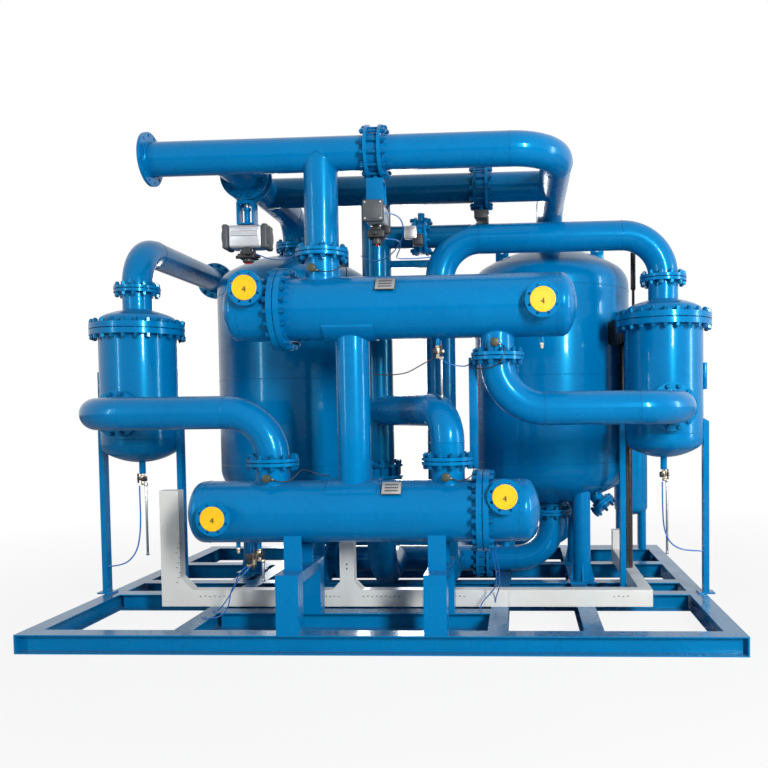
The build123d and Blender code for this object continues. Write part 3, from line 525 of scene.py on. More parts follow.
def stud_ring(circle, count, grip, shank, across_flats):
    """Studs and nuts round a joint at the origin: one is modelled and spun into the ring."""
    turn = pi / count
    middle = Vector((circle / 2 * cos(turn), circle / 2 * sin(turn), 0))
    nut_height = across_flats * 0.8
    bpy.ops.mesh.primitive_cylinder_add(
        vertices=8, radius=shank / 2, depth=grip + 2 * nut_height + 0.012, location=middle
    )
    parts = [bpy.context.object]
    for end in (-1, 1):
        spot = middle + Vector((0, 0, end * (grip + nut_height) / 2))
        bpy.ops.mesh.primitive_cylinder_add(
            vertices=6, radius=across_flats / sqrt(3), depth=nut_height, location=spot
        )
        nut = bpy.context.object
        bpy.ops.object.mode_set(mode="EDIT")
        bpy.ops.mesh.select_all(action="DESELECT")
        shape = bmesh.from_edit_mesh(nut.data)
        for face in shape.faces:
            face.select = face.normal.z * end > 0.9
        shape.select_flush_mode()
        bmesh.update_edit_mesh(nut.data)
        bpy.ops.mesh.inset(thickness=across_flats * 0.09)
        bpy.ops.transform.translate(value=(0, 0, end * across_flats * 0.07))
        bpy.ops.object.mode_set(mode="OBJECT")
        parts.append(nut)
    ring = joined(parts, "stud_ring")
    bpy.ops.object.mode_set(mode="EDIT")
    bpy.ops.mesh.select_all(action="SELECT")
    bpy.ops.mesh.spin(
        steps=count - 1, dupli=True, angle=2 * pi * (count - 1) / count, center=(0, 0, 0), axis=up
    )
    bpy.ops.object.mode_set(mode="OBJECT")
    return ring


def copies(model, places):
    """Copies of a modelled piece, each with its own mesh, and the model taken away."""
    made = []
    for place in places:
        only(model)
        bpy.ops.object.duplicate(linked=False)
        made.append(bpy.context.object)
        made[-1].matrix_world = place @ model.matrix_world
    bpy.data.objects.remove(model)
    return made


plain_joints = (
    ((-0.34, cooler_y, 2.545), up), ((left_tank_x, tank_y, 2.935), up), ((right_tank_x, tank_y, 2.935), up),
    ((outlet_x, separator_y, 0.9), up), ((outlet_x, 0.9, manifold_z), back),
    ((left_tank_x, tank_y, 0.65), up), ((right_tank_x, tank_y, 0.65), up),
    ((0.791, cooler_y, 1.864), up), ((-0.696, cooler_y, 1.196), up), ((0.461, cooler_y, 1.196), up),
    ((-separator_x, -0.842, inlet_z), back), ((separator_x, -0.842, inlet_z), back),
    ((-separator_x, separator_y, 2.476), up), ((separator_x, separator_y, 2.476), up),
    ((-separator_x, 1.13, outlet_z), back), ((filter_line_x, rear_y, 0.62), up),
    ((1.759, rear_y, 0.9), right),
)
valve_joints = (
    ((0.022, cooler_y, header_z), right), ((left_tank_x, -0.92, header_z), back),
    ((0.66, separator_y, header_z), right), ((riser_x, separator_y, 1.068), up),
    ((-0.692, tank_y, manifold_z), right), ((0.603, tank_y, manifold_z), right),
)
joint_circle = 0.295
gasket_depth = 0.003
for kind, joints, grip in (("pipe", plain_joints, 0.048), ("valve", valve_joints, 0.108)):
    studs = copies(stud_ring(joint_circle, 12, grip, 0.02, 0.03), [facing(*joint) for joint in joints])
    finished(studs, kind + "_joint_studs", nut_paint)
bpy.ops.mesh.primitive_cylinder_add(vertices=64, radius=0.1365, depth=gasket_depth)
gaskets = copies(bpy.context.object, [facing(*joint) for joint in plain_joints])
finished(gaskets, "pipe_gaskets", gasket_graphite)

neck_beads = []
for joints, setback in ((plain_joints, 0.027), (valve_joints, 0.057)):
    for place, axis in joints:
        for end in (-1, 1):
            spot = Vector(place) + Vector(axis) * end * setback
            neck_beads.append(bead(spot, axis, pipe_radius, neck_bead))
for spot in ((-1.453, cooler_y, header_z), (2.256, rear_y, 1.64)):
    neck_beads.append(bead(spot, right, pipe_radius, neck_bead))
finished(neck_beads, "flange_weld_beads", weld_paint)

# Body flanges of the coolers and separators: heavy steel rings, held by twenty and twenty-four studs.
# The joint is closed by a graphite gasket, and the nuts are sprayed over with the rest.
gasket_places = []
for kind, ring, gasket_radius, joints in (
    ("cooler", (0.49, 20, 0.08), 0.226, (
        ((-0.6, cooler_y, upper_cooler_z), right), ((0.692, cooler_y, lower_cooler_z), right),
    )),
    ("separator", (0.66, 24, 0.088), 0.311, (
        ((-separator_x, separator_y, 2.165), up), ((separator_x, separator_y, 2.165), up),
    )),
):
    places = [facing(*joint) for joint in joints]
    finished(copies(stud_ring(*ring, 0.022, 0.032), places), kind + "_flange_studs", nut_paint)
    gasket_places += [(place, gasket_radius) for place in places]
body_gaskets = []
for place, gasket_radius in gasket_places:
    bpy.ops.mesh.primitive_cylinder_add(vertices=96, radius=gasket_radius, depth=gasket_depth)
    body_gaskets.append(bpy.context.object)
    body_gaskets[-1].matrix_world = place
finished(body_gaskets, "body_gaskets", gasket_graphite)

# Transport caps of the cooling-water flanges: yellow moulded plastic, pressed on until the water pipes
# are fitted. Each has stepped rings in its face and its size number, printed in black.
cap_plastic, cap_tree, cap_shader, cap_place = new_finish("yellow_cap_plastic", {
    "Roughness": 0.42, "Subsurface Weight": 0.1, "Subsurface Radius": (0.004, 0.002, 0.001),
})
mottled(cap_tree, cap_place, 22, ((0.86, 0.44, 0.0), (0.95, 0.58, 0.003)), cap_shader, "Base Color")
print_ink, print_tree, print_shader, print_place = new_finish(
    "print_ink", {"Base Color": (0.02, 0.018, 0.015, 1)}
)
print_fade = add_node(print_tree, "TexNoise", {"Scale": 60})
wire(print_tree, (*print_place, print_fade, "Vector"), (print_fade, "Fac", print_shader, "Roughness"))
water_face_y = -1.646
cap_radius = 0.078
cap_depth = 0.008
cap_steps = (
    (0.0015, 0.0008), (0.006, 0.0), (0.0015, -0.0025), (0.009, 0.0), (0.0012, 0.0012), (0.003, 0.0),
    (0.0012, -0.0012),
)


def press_top(piece, steps):
    """Insets a piece's top face and moves it along Z, once for each step."""
    only(piece)
    bpy.ops.object.mode_set(mode="EDIT")
    bpy.ops.mesh.select_all(action="DESELECT")
    shape = bmesh.from_edit_mesh(piece.data)
    top = max(shape.faces, key=lambda face: face.normal.z)
    top.select = True
    shape.select_flush_mode()
    bmesh.update_edit_mesh(piece.data)
    for thickness, depth in steps:
        bpy.ops.mesh.inset(thickness=thickness)
        bpy.ops.transform.translate(value=(0, 0, depth))
    bpy.ops.object.mode_set(mode="OBJECT")


caps = []
numbers = []
for x, z in ((-0.763, 2.296), (1.079, 2.188), (-1.002, 0.859), (0.835, 0.985)):
    bpy.ops.mesh.primitive_cylinder_add(
        vertices=64, radius=cap_radius, depth=cap_depth, location=(0, 0, cap_depth / 2)
    )
    cap = bpy.context.object
    press_top(cap, cap_steps)
    cap.matrix_world = facing((x, water_face_y, z), front)
    caps.append(cap)
    bpy.ops.object.text_add(location=(0, 0, 0))
    number = bpy.context.object
    number.data.body = "4"
    number.data.size = 0.052
    number.data.align_x = "CENTER"
    number.data.align_y = "CENTER"
    number.data.extrude = 0.0003
    bpy.ops.object.convert(target="MESH")
    number = bpy.context.object
    number_place = Matrix.Translation((x, water_face_y - cap_depth + 0.0014, z - 0.012))
    number.matrix_world = number_place @ Matrix.Rotation(pi / 2, 4, "X")
    numbers.append(number)
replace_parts(finished(caps, "yellow_water_caps", cap_plastic, 30), "water_caps")
finished(numbers, "cap_numbers", print_ink)

# Valves: cast bodies in enamel, stainless discs, and pneumatic actuators on welded brackets.
# An actuator is a ribbed aluminium extrusion between two dark cast end caps, with a switch box below it.
valve_paint = enamel("valve_enamel", (0.0, 0.11, 0.29), (0.0, 0.15, 0.38), 0.3, 0.3)
valves = (
    "header_valve", "left_leg_valve", "rear_header_valve", "riser_valve", "manifold_valve_left",
    "manifold_valve_right",
)
paint_nodes(valve_paint, *(valve + "_body" for valve in valves))


def grained(name, dark, pale, scale, roughness, metal=0.0, relief=0.1, stretch=(1, 1, 1)):
    """A finish that varies between two tones, with a fine grain in its gloss and relief."""
    finish, tree, shader, place = new_finish(name, {"Metallic": metal})
    lay = add_node(tree, "Mapping", {"Scale": stretch})
    grain = mottled(tree, (lay, 0), scale, (dark, pale), shader, "Base Color", 6)
    gloss = add_node(tree, "MapRange", {"To Min": roughness[0], "To Max": roughness[1]})
    bump = add_node(tree, "Bump", {"Strength": relief, "Distance": 0.001})
    wire(
        tree,
        (*place, lay, "Vector"), (grain, "Fac", gloss, "Value"), (grain, "Fac", bump, "Height"),
        (gloss, 0, shader, "Roughness"), (bump, 0, shader, "Normal"),
    )
    return finish


disc_steel = grained("disc_stainless", (0.4, 0.41, 0.42), (0.62, 0.63, 0.64), 40, (0.25, 0.45), 1.0)
drawn_aluminium = grained(
    "drawn_aluminium", (0.4, 0.42, 0.44), (0.62, 0.64, 0.67), 30, (0.32, 0.5), 0.55, 0.1, (1, 12, 12)
)
cap_casting = grained("cap_casting", (0.035, 0.042, 0.05), (0.07, 0.08, 0.09), 120, (0.4, 0.6), 0.0, 0.3)
black_housing = grained(
    "black_housing", (0.008, 0.009, 0.011), (0.02, 0.022, 0.026), 90, (0.35, 0.55), 0.0, 0.2
)
zinc_steel = grained("zinc_steel", (0.42, 0.42, 0.41), (0.66, 0.66, 0.64), 55, (0.25, 0.45), 1.0)
pointer_red = grained("pointer_red", (0.45, 0.01, 0.01), (0.6, 0.02, 0.015), 70, (0.4, 0.5))
paint_nodes(disc_steel, *(valve + "_disc" for valve in valves))


def block(size, place, edge, steps=2):
    """A block with rounded edges."""
    bpy.ops.mesh.primitive_cube_add(size=1, location=place)
    piece = bpy.context.object
    piece.scale = size
    bpy.ops.object.transform_apply(location=False, rotation=False, scale=True)
    rounding = piece.modifiers.new("edges", "BEVEL")
    rounding.width = edge
    rounding.segments = steps
    bpy.ops.object.modifier_apply(modifier=rounding.name)
    return piece


def turned(radius, depth, place, axis, edge=0.001, sides=32):
    """A turned bar whose middle is at place, with broken edges."""
    bpy.ops.mesh.primitive_cylinder_add(vertices=sides, radius=radius, depth=depth)
    piece = bpy.context.object
    rounding = piece.modifiers.new("edges", "BEVEL")
    rounding.width = edge
    rounding.segments = 2
    rounding.limit_method = "ANGLE"
    rounding.angle_limit = radians(65)
    bpy.ops.object.modifier_apply(modifier=rounding.name)
    piece.matrix_world = facing(place, axis)
    return piece


def set_down(pieces, matrix):
    """Moves pieces that are modelled round the origin to their place."""
    for piece in pieces:
        piece.matrix_world = matrix @ piece.matrix_world
    return pieces


def ribbed_body(length, width, height):
    """The aluminium extrusion of an actuator, lying along X, with ribs pressed out of its sides."""
    body = block((length, width, height), (0, 0, 0), 0.02, 4)
    only(body)
    bpy.ops.object.transform_apply(location=True, rotation=True, scale=True)
    bpy.ops.object.mode_set(mode="EDIT")
    for share in (-0.24, 0, 0.24):
        bpy.ops.mesh.select_all(action="SELECT")
        bpy.ops.mesh.bisect(plane_co=(0, 0, share * height), plane_no=up)
    for share in (-0.2, 0.2):
        bpy.ops.mesh.select_all(action="SELECT")
        bpy.ops.mesh.bisect(plane_co=(0, share * width, 0), plane_no=back)
    bpy.ops.mesh.select_all(action="DESELECT")
    shape = bmesh.from_edit_mesh(body.data)
    for face in shape.faces:
        face.select = abs(face.normal.y) > 0.99 or abs(face.normal.z) > 0.99
    shape.select_flush_mode()
    bmesh.update_edit_mesh(body.data)
    bpy.ops.mesh.inset(thickness=0.004, depth=0.004, use_individual=True)
    bpy.ops.object.mode_set(mode="OBJECT")
    return body


def actuator(name, node, centre, turn, size, bracket_length, box, rotor):
    """A valve's bracket, actuator and switch box, hanging below the valve's neck."""
    length, width, height = size
    here = Matrix.Translation(centre) @ Matrix.Rotation(turn, 4, "Z")
    cap = 0.042
    corners = ((-1, -1), (-1, 1), (1, -1), (1, 1))
    body = ribbed_body(length - 2 * cap, width - 0.012, height - 0.012)
    finished(set_down([body], here), name + "_actuator_body", drawn_aluminium)
    ends = []
    screws = []
    for end in (-1, 1):
        middle = end * (length - cap) / 2
        ends.append(block((cap, width, height), (middle, 0, 0), 0.014, 3))
        ends.append(turned(height * 0.4, 0.008, (end * length / 2, 0, 0), right, 0.002, 48))
        for side, rise in corners:
            spot = (end * (length / 2 + 0.001), side * (width / 2 - 0.018), rise * (height / 2 - 0.018))
            screws.append(turned(0.006, 0.006, spot, right, 0.001, 12))
    finished(set_down(ends, here), name + "_end_caps", cap_casting)
    finished(set_down(screws, here), name + "_cap_screws", zinc_steel, 30)

    if bracket_length:
        plates = []
        reach = height / 2 + bracket_length / 2
        for side in (-1, 1):
            plates.append(block((0.01, 0.11, bracket_length), (side * 0.054, 0, reach), 0.0015))
        for rise in (height / 2 + 0.005, height / 2 + bracket_length - 0.005):
            plates.append(block((0.1, 0.11, 0.01), (0, 0, rise), 0.0015))
        for side, end in corners:
            spot = (side * 0.038, end * 0.036, height / 2 + bracket_length - 0.014)
            plates.append(turned(0.009, 0.008, spot, up, 0.001, 6))
        shell = finished(set_down(plates, here), name + "_bracket", valve_paint)
        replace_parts(shell, node)
        sleeve = [
            turned(0.02, bracket_length * 0.55, (0, 0, reach - bracket_length * 0.1), up, 0.002),
            turned(0.027, 0.02, (0, 0, reach + bracket_length * 0.24), up, 0.002),
        ]
        finished(set_down(sleeve, here), name + "_coupling", valve_paint, body=rotor)

    box_length, box_width, box_height = box
    top = -height / 2
    box_middle = top - 0.03 - box_height * 0.18
    lid_middle = top - 0.028 - box_height * 0.5
    yoke = [
        block((box_length * 0.8, box_width * 0.6, 0.03), (0, 0, top - 0.015), 0.003),
        block((box_length, box_width, box_height * 0.36), (0, 0, box_middle), 0.008, 3),
        turned(box_length * 0.32, box_height * 0.3, (0, 0, lid_middle), up, 0.006),
        turned(0.012, 0.03, (box_length / 2 + 0.012, 0, box_middle), right, 0.002, 12),
        turned(0.012, 0.03, (-box_length / 2 - 0.012, 0, box_middle), right, 0.002, 12),
        block((0.05, 0.045, 0.05), (0.02, -width / 2 + 0.005, top - 0.02), 0.004),
    ]
    finished(set_down(yoke, here), name + "_switch_box", black_housing)
    washers = []
    for side, end in corners:
        spot = (side * box_length * 0.34, end * box_width * 0.24, top - 0.006)
        washers.append(turned(0.008, 0.01, spot, up, 0.001, 12))
    finished(set_down(washers, here), name + "_spacers", zinc_steel, 30)
    pointer = [block((box_length * 0.42, 0.014, 0.01), (0, 0, top - 0.03 - box_height * 0.66), 0.003)]
    finished(set_down(pointer, here), name + "_pointer", pointer_red)


actuator(
    "header_valve", "header_valve_actuator", (0.022, cooler_y, 2.7835), pi / 2,
    (0.3, 0.135, 0.137), 0.147, (0.11, 0.11, 0.14), "header_valve_rotor",
)
actuator(
    "left_leg_valve", "left_leg_valve_actuator", (left_tank_x, -0.92, 2.7585), 0,
    (0.322, 0.15, 0.173), 0.154, (0.12, 0.11, 0.092), "left_leg_valve_rotor",
)
rear_here = Matrix.Translation((0.66, separator_y, 2.965))
rear_body = block((0.15, 0.096, 0.062), (0, 0, 0), 0.012, 3)
rear_caps = [block((0.04, 0.1, 0.068), (end * 0.095, 0, 0), 0.01, 3) for end in (-1, 1)]
rear_turn = rear_here @ Matrix.Rotation(pi / 2, 4, "Z")
rear_drive = finished(
    set_down([rear_body, *rear_caps], rear_turn), "rear_header_actuator", black_housing
)
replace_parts(rear_drive, "rear_header_valve_actuator")

# Pneumatic tubes: blue polyurethane of 8 mm, from the actuators' ports and switch boxes to the lines behind.
# They are stiff and keep the bends of their coil, so each swings out before it turns back.
air_tube = 0.008
for name, length, route in (
    ("header_valve_tube", 1.129, (
        (0.09, -1.4, 2.789), (0.159, -1.38, 2.786), (0.189, -1.3, 2.731), (0.158, -1.15, 2.671),
        (0.049, -0.95, 2.609), (-0.089, -0.72, 2.607), (-0.193, -0.63, 2.646), (-0.24, -0.555, 2.68),
        (-0.254, -0.49, 2.7),
    )),
    ("header_switch_tube", 0.942, (
        (0.077, -1.38, 2.631), (0.127, -1.365, 2.629), (0.161, -1.28, 2.637), (0.142, -1.15, 2.614),
        (0.088, -1.0, 2.585), (0.083, -0.85, 2.6), (0.115, -0.72, 2.625), (0.18, -0.66, 2.636),
        (0.249, -0.61, 2.65), (0.292, -0.575, 2.661),
    )),
    ("left_leg_valve_tube", 0.576, (
        (-0.915, -0.96, 2.64), (-0.86, -0.99, 2.615), (-0.78, -1.06, 2.58), (-0.68, -1.15, 2.555),
        (-0.6, -1.23, 2.547), (-0.545, -1.3, 2.55), (-0.516, -1.35, 2.556),
    )),
):
    free_cord(name, route, air_tube, hose_plastic)

# Nameplates: bare stainless plates, riveted at the corners to small brackets of folded sheet.
# The brackets are welded to the front of both coolers and lean back with the shell.
plate_steel = grained(
    "plate_steel", (0.3, 0.29, 0.28), (0.52, 0.51, 0.5), 24, (0.3, 0.5), 0.9, 0.1, (1, 14, 14)
)
plate_lean = 36
for name, place in (
    ("upper_nameplate", (0.099, -1.545, 2.316)), ("lower_nameplate", (0.114, -1.52, 1.034)),
):
    tilt = Matrix.Translation(place) @ Matrix.Rotation(radians(90 - plate_lean), 4, "X")
    plate = [block((0.122, 0.088, 0.002), (0, 0, 0.002), 0.0008)]
    # The dark sheet behind the plate, a little larger than it, is painted shadow round the plate's edge; the
    # two stand-offs added below it are the brackets.
    backing_and_painted_shadow = [block((0.128, 0.094, 0.003), (0, 0, -0.001), 0.001)]
    for side in (-1, 1):
        backing_and_painted_shadow.append(block((0.016, 0.06, 0.045), (side * 0.048, 0, -0.024), 0.002))
        for end in (-1, 1):
            plate.append(turned(0.0035, 0.003, (side * 0.053, end * 0.037, 0.004), up, 0.001, 12))
    raised = []
    for row in range(3):
        raised.append(block((0.084, 0.01, 0.0006), (0, 0.022 - row * 0.022, 0.0032), 0.0002))
    finished(set_down(plate, tilt), name, plate_steel)
    # The backing sheet's dark colour is painted shadow; the stand-offs in the same piece are the brackets.
    finished(set_down(backing_and_painted_shadow, tilt), name + "_bracket", cap_casting)
    finished(set_down(raised, tilt), name + "_lines", cap_casting)

# Temperature sensors on the process nozzles: a welded steel boss, a brass union screwed into it,
# and a round head of dark painted aluminium with a gland for the cable.
sensor_brass = grained("sensor_brass", (0.28, 0.2, 0.09), (0.5, 0.38, 0.18), 60, (0.3, 0.5), 1.0)
sensor_head = grained("sensor_head", (0.03, 0.036, 0.022), (0.07, 0.08, 0.05), 100, (0.35, 0.55), 0.2, 0.3)
for name, place in (
    ("inlet_sensor", (-0.372, -1.465, 2.432)), ("upper_outlet_sensor", (0.78, -1.469, 1.946)),
    ("lower_left_sensor", (-0.69, -1.469, 1.098)), ("lower_right_sensor", (0.463, -1.469, 1.098)),
):
    here = Matrix.Translation(place)
    boss = [turned(0.016, 0.03, (0, -0.004, 0), front, 0.002, 24)]
    finished(set_down(boss, here), name + "_boss", pipe_paint)
    union = [
        turned(0.019, 0.014, (0, -0.024, 0), front, 0.002, 6),
        turned(0.008, 0.026, (0.02, -0.016, -0.007), (1, 0, -0.4), 0.001, 12),
    ]
    finished(set_down(union, here), name + "_union", sensor_brass)
    head = [
        turned(0.028, 0.034, (0, -0.048, 0), front, 0.006, 40),
        turned(0.022, 0.006, (0, -0.066, 0), front, 0.002, 40),
    ]
    finished(set_down(head, here), name + "_head", sensor_head)

# Bypass between the riser and the right separator's outlet: a nominal bore 150 pipe with a wafer valve.
# A short square bar below it braces the two pipes. The valve's small drive shows its zinc-plated end.
bypass_z = 2.83
bypass_valve_x = 0.205
bypass_pipe = [
    turned(0.084, 0.64, (0.262, separator_y, bypass_z), right, 0.001, 64),
    block((0.33, 0.05, 0.05), (0.12, separator_y, 2.629), 0.003),
]
# The bypass pipe and its brace take the darker enamel, whose deeper blue is painted shade.
finished(bypass_pipe, "bypass_pipe", painted_shade_pipe_paint)
bypass_valve = [
    turned(0.12, 0.052, (bypass_valve_x, separator_y, bypass_z), right, 0.004, 64),
    turned(0.026, 0.06, (bypass_valve_x, separator_y, bypass_z + 0.145), up, 0.004, 24),
    turned(0.024, 0.11, (bypass_valve_x - 0.03, separator_y - 0.13, bypass_z - 0.01), back, 0.003, 24),
]
for side in (-1, 1):
    spot = (bypass_valve_x + side * 0.04, separator_y, bypass_z)
    bypass_valve.append(turned(0.142, 0.02, spot, right, 0.002, 64))
finished(bypass_valve, "bypass_valve_body", valve_paint)
bypass_joint = facing((bypass_valve_x, separator_y, bypass_z), right)
bypass_studs = copies(stud_ring(0.24, 8, 0.1, 0.02, 0.03), [bypass_joint])
finished(bypass_studs, "bypass_valve_studs", nut_paint)
drive_spot = Vector((bypass_valve_x - 0.052, -0.7, 2.815))
drive = [
    block((0.078, 0.09, 0.078), drive_spot + Vector((0.052, 0.02, -0.052)), 0.008, 3),
    turned(0.034, 0.06, drive_spot + Vector((0.02, 0.06, -0.01)), back, 0.003, 24),
]
finished(drive, "bypass_drive", black_housing)
drive_end = [block((0.088, 0.06, 0.088), drive_spot, 0.004, 2)]
finished(drive_end, "bypass_drive_end", zinc_steel)

# Lifting lugs and discharge nozzles of the tanks: the lugs are drilled plates, welded to the top dished end.
# The nozzle under each tank is for emptying the desiccant, and is closed with a bolted blind flange.


def drilled(piece, radius, place, axis):
    """Cuts a round hole through a piece."""
    drill = turned(radius, 0.2, place, axis, 0.0005, 32)
    hole = piece.modifiers.new("hole", "BOOLEAN")
    hole.operation = "DIFFERENCE"
    hole.object = drill
    only(piece)
    bpy.ops.object.modifier_apply(modifier=hole.name)
    bpy.data.objects.remove(drill)
    return piece


for tank_name, tank_x in (("left_tank", left_tank_x), ("right_tank", right_tank_x)):
    lugs = []
    for side in (-1, 1):
        lug_x = tank_x + side * 0.4
        lug = block((0.11, 0.02, 0.15), (lug_x, tank_y, 2.8), 0.004)
        eye = turned(0.055, 0.026, (lug_x, tank_y, 2.868), back, 0.003, 40)
        lugs += [drilled(part, 0.026, (lug_x, tank_y, 2.868), back) for part in (lug, eye)]
    finished(lugs, tank_name + "_lugs", vessel_paint)
    way = Vector((0.62, -0.3, -0.72)).normalized()
    foot = Vector((tank_x + 0.3, tank_y - 0.14, 0.86))
    nozzle = [
        turned(0.054, 0.21, foot + way * 0.085, way, 0.001, 48),
        turned(0.108, 0.02, foot + way * 0.18, way, 0.002, 64),
        turned(0.108, 0.02, foot + way * 0.204, way, 0.002, 64),
    ]
    finished(nozzle, tank_name + "_discharge_nozzle", vessel_paint)
    studs = copies(stud_ring(0.18, 8, 0.046, 0.016, 0.024), [facing(foot + way * 0.192, way)])
    finished(studs, tank_name + "_discharge_studs", nut_paint)

# Side pads of the separators: plain steel plates, fillet-welded to the outer side of each shell
# and left bare for a bracket. They take the shell's enamel.
pads = [block((0.024, 0.11, 0.196), (side * 2.303, separator_y, 1.752), 0.003) for side in (-1, 1)]
finished(pads, "separator_pads", vessel_paint)

# Automatic drains: a blue stub, a brass ball valve with a black lever, a black solenoid and a hanging tube.
# The separators' ones stand where the frame has their plain blocks and tubes.
drain_brass = grained("drain_brass", (0.42, 0.33, 0.22), (0.68, 0.58, 0.42), 50, (0.25, 0.45), 0.8)
drain_tube_steel = grained(
    "drain_tube_steel", (0.34, 0.35, 0.36), (0.55, 0.56, 0.57), 34, (0.22, 0.4), 1.0, 0.1, (12, 12, 1)
)


def drain(name, place, side, tube_end):
    """An automatic drain below a vessel: place is the lower end of its stub."""
    x, y, z = place
    tube_x = x + 0.023
    brass = [
        turned(0.015, 0.02, (x, y, z - 0.008), up, 0.002, 6),
        turned(0.02, 0.04, (x, y, z - 0.036), up, 0.005, 24),
        turned(0.013, 0.06, (x + side * 0.012, y, z - 0.04), right, 0.002, 6),
        turned(0.012, 0.03, (x, y, z - 0.07), up, 0.002, 6),
        turned(0.009, 0.05, (x + 0.012, y, z - 0.08), right, 0.002, 12),
    ]
    finished(brass, name + "_ball_valve", drain_brass)
    black = [
        block((0.03, 0.034, 0.04), (x - side * 0.016, y, z - 0.04), 0.006, 3),
        turned(0.016, 0.036, (x - side * 0.016, y - 0.016, z - 0.04), back, 0.003, 24),
        block((0.01, 0.016, 0.075), (x + side * 0.026, y - 0.022, z - 0.034), 0.003),
    ]
    finished(black, name + "_solenoid", black_housing)
    steel = [
        turned(0.009, z - 0.08 - tube_end, (tube_x, y, (z - 0.08 + tube_end) / 2), up, 0.001, 24),
        turned(0.013, 0.022, (tube_x, y, z - 0.088), up, 0.002, 6),
        turned(0.012, 0.018, (tube_x, y, tube_end + 0.01), up, 0.002, 16),
    ]
    return finished(steel, name + "_tube", drain_tube_steel)


for name, x, side in (("left_separator", -separator_x, -1), ("right_separator", separator_x, 1)):
    tube = drain(name + "_auto_drain", (x, separator_y, 1.06), side, 0.42)
    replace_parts(tube, name + "_drain")
stubs = [
    turned(radius, length, (x, cooler_y, z), up, edge, 24)
    for radius, length, x, z, edge in (
        (0.015, 0.06, 0.406, 1.97, 0.002), (0.015, 0.06, -0.8, 0.65, 0.002),
        (0.022, 0.05, 0.833, 0.655, 0.003), (0.014, 0.05, 1.079, 1.972, 0.002),
        (0.014, 0.05, -0.941, 0.652, 0.002),
    )
]
finished(stubs, "drain_stubs", pipe_paint)
plugs = [
    turned(radius, depth, (x, cooler_y, z), up, 0.002, 6)
    for radius, depth, x, z in (
        (0.013, 0.022, 1.079, 1.938), (0.009, 0.02, 1.079, 1.92),
        (0.013, 0.022, -0.941, 0.618), (0.009, 0.02, -0.941, 0.6),
    )
]
finished(plugs, "drain_plugs", drain_brass)
drain("upper_cooler_drain", (0.406, cooler_y, 1.944), 1, 1.6)
drain("lower_cooler_drain", (-0.8, cooler_y, 0.624), -1, 0.4)

# Strainer branch of the lower cooler's drain: a brass elbow and strainer, screwed together,
# and a small valve with a round black knob of moulded plastic.
strainer_x = -0.85
strainer_brass = [
    turned(0.012, 0.064, (-0.828, cooler_y, 0.578), right, 0.002, 12),
    turned(0.015, 0.074, (strainer_x + 0.014, cooler_y, 0.552), up, 0.003, 24),
    turned(0.013, 0.046, (strainer_x - 0.012, cooler_y, 0.516), (1, 0, 0.3), 0.002, 6),
]
finished(strainer_brass, "strainer_brass", drain_brass)
strainer_black = [
    turned(0.022, 0.02, (strainer_x - 0.014, -1.384, 0.573), back, 0.004, 32),
    turned(0.02, 0.07, (strainer_x - 0.014, cooler_y, 0.552), up, 0.006, 24),
    turned(0.016, 0.03, (strainer_x + 0.01, cooler_y, 0.502), up, 0.004, 24),
]
finished(strainer_black, "strainer_valve", black_housing)

# Drain and control hoses of the coolers: blue tube of 8 mm that drops over the trunking to the skid.
# Two leave the lower drain, two come down behind the bonnet's flange and one runs into the cable duct.
for name, length, route in (
    ("lower_drain_long_hose", 0.768, (
        (-1.245, -1.06, 0.131), (-1.2, -1.08, 0.134), (-1.145, -1.1, 0.192), (-1.064, -1.15, 0.296),
        (-1.026, -1.2, 0.35), (-0.981, -1.28, 0.416), (-0.935, -1.33, 0.468), (-0.884, -1.345, 0.507),
        (-0.87, -1.33, 0.55), (-0.868, -1.328, 0.6), (-0.868, -1.33, 0.66),
    )),
    ("lower_drain_short_hose", 0.754, (
        (-1.245, -1.24, 0.131), (-1.205, -1.262, 0.131), (-1.15, -1.272, 0.134), (-1.1, -1.27, 0.15),
        (-1.063, -1.27, 0.191), (-1.039, -1.28, 0.255), (-1.024, -1.3, 0.318), (-0.995, -1.32, 0.363),
        (-0.935, -1.35, 0.428), (-0.866, -1.345, 0.5), (-0.852, -1.328, 0.545), (-0.85, -1.326, 0.6),
        (-0.85, -1.328, 0.66),
    )),
    ("bonnet_hose_left", 0.681, (
        (0.755, -1.33, 0.668), (0.742, -1.31, 0.61), (0.739, -1.28, 0.55), (0.758, -1.22, 0.47),
        (0.76, -1.14, 0.382), (0.752, -1.06, 0.3), (0.713, -1.02, 0.243), (0.665, -1.005, 0.19),
        (0.643, -1.0, 0.15), (0.64, -1.005, 0.129),
    )),
    ("bonnet_hose_right", 0.663, (
        (0.775, -1.322, 0.668), (0.762, -1.302, 0.61), (0.76, -1.268, 0.55), (0.779, -1.206, 0.47),
        (0.781, -1.126, 0.382), (0.778, -1.046, 0.3), (0.765, -0.985, 0.245), (0.752, -0.945, 0.205),
        (0.747, -0.925, 0.18), (0.745, -0.9215, 0.157),
    )),
    ("upper_drain_hose", 0.337, (
        (0.425, -1.335, 1.978), (0.425, -1.332, 1.92), (0.428, -1.34, 1.865), (0.445, -1.355, 1.838),
        (0.472, -1.362, 1.822), (0.515, -1.355, 1.812), (0.556, -1.34, 1.806), (0.588, -1.315, 1.808),
        (0.611, -1.302, 1.823),
    )),
):
    free_cord(name, route, air_tube, hose_plastic)

# Desiccant and tube bundles, inside the vessels: pale alumina beads poured into each tank,
# and copper-nickel tubes rolled into the coolers' tube plates.
bead_white = grained("desiccant_beads", (0.62, 0.58, 0.5), (0.88, 0.86, 0.8), 160, (0.6, 0.9), 0.0, 0.8)
bundle_steel = grained(
    "bundle_steel", (0.4, 0.36, 0.3), (0.62, 0.56, 0.48), 20, (0.25, 0.45), 1.0, 0.1, (1, 14, 14)
)
paint_nodes(bead_white, "left_desiccant_bed", "right_desiccant_bed")
paint_nodes(bundle_steel, "tube_bundles")

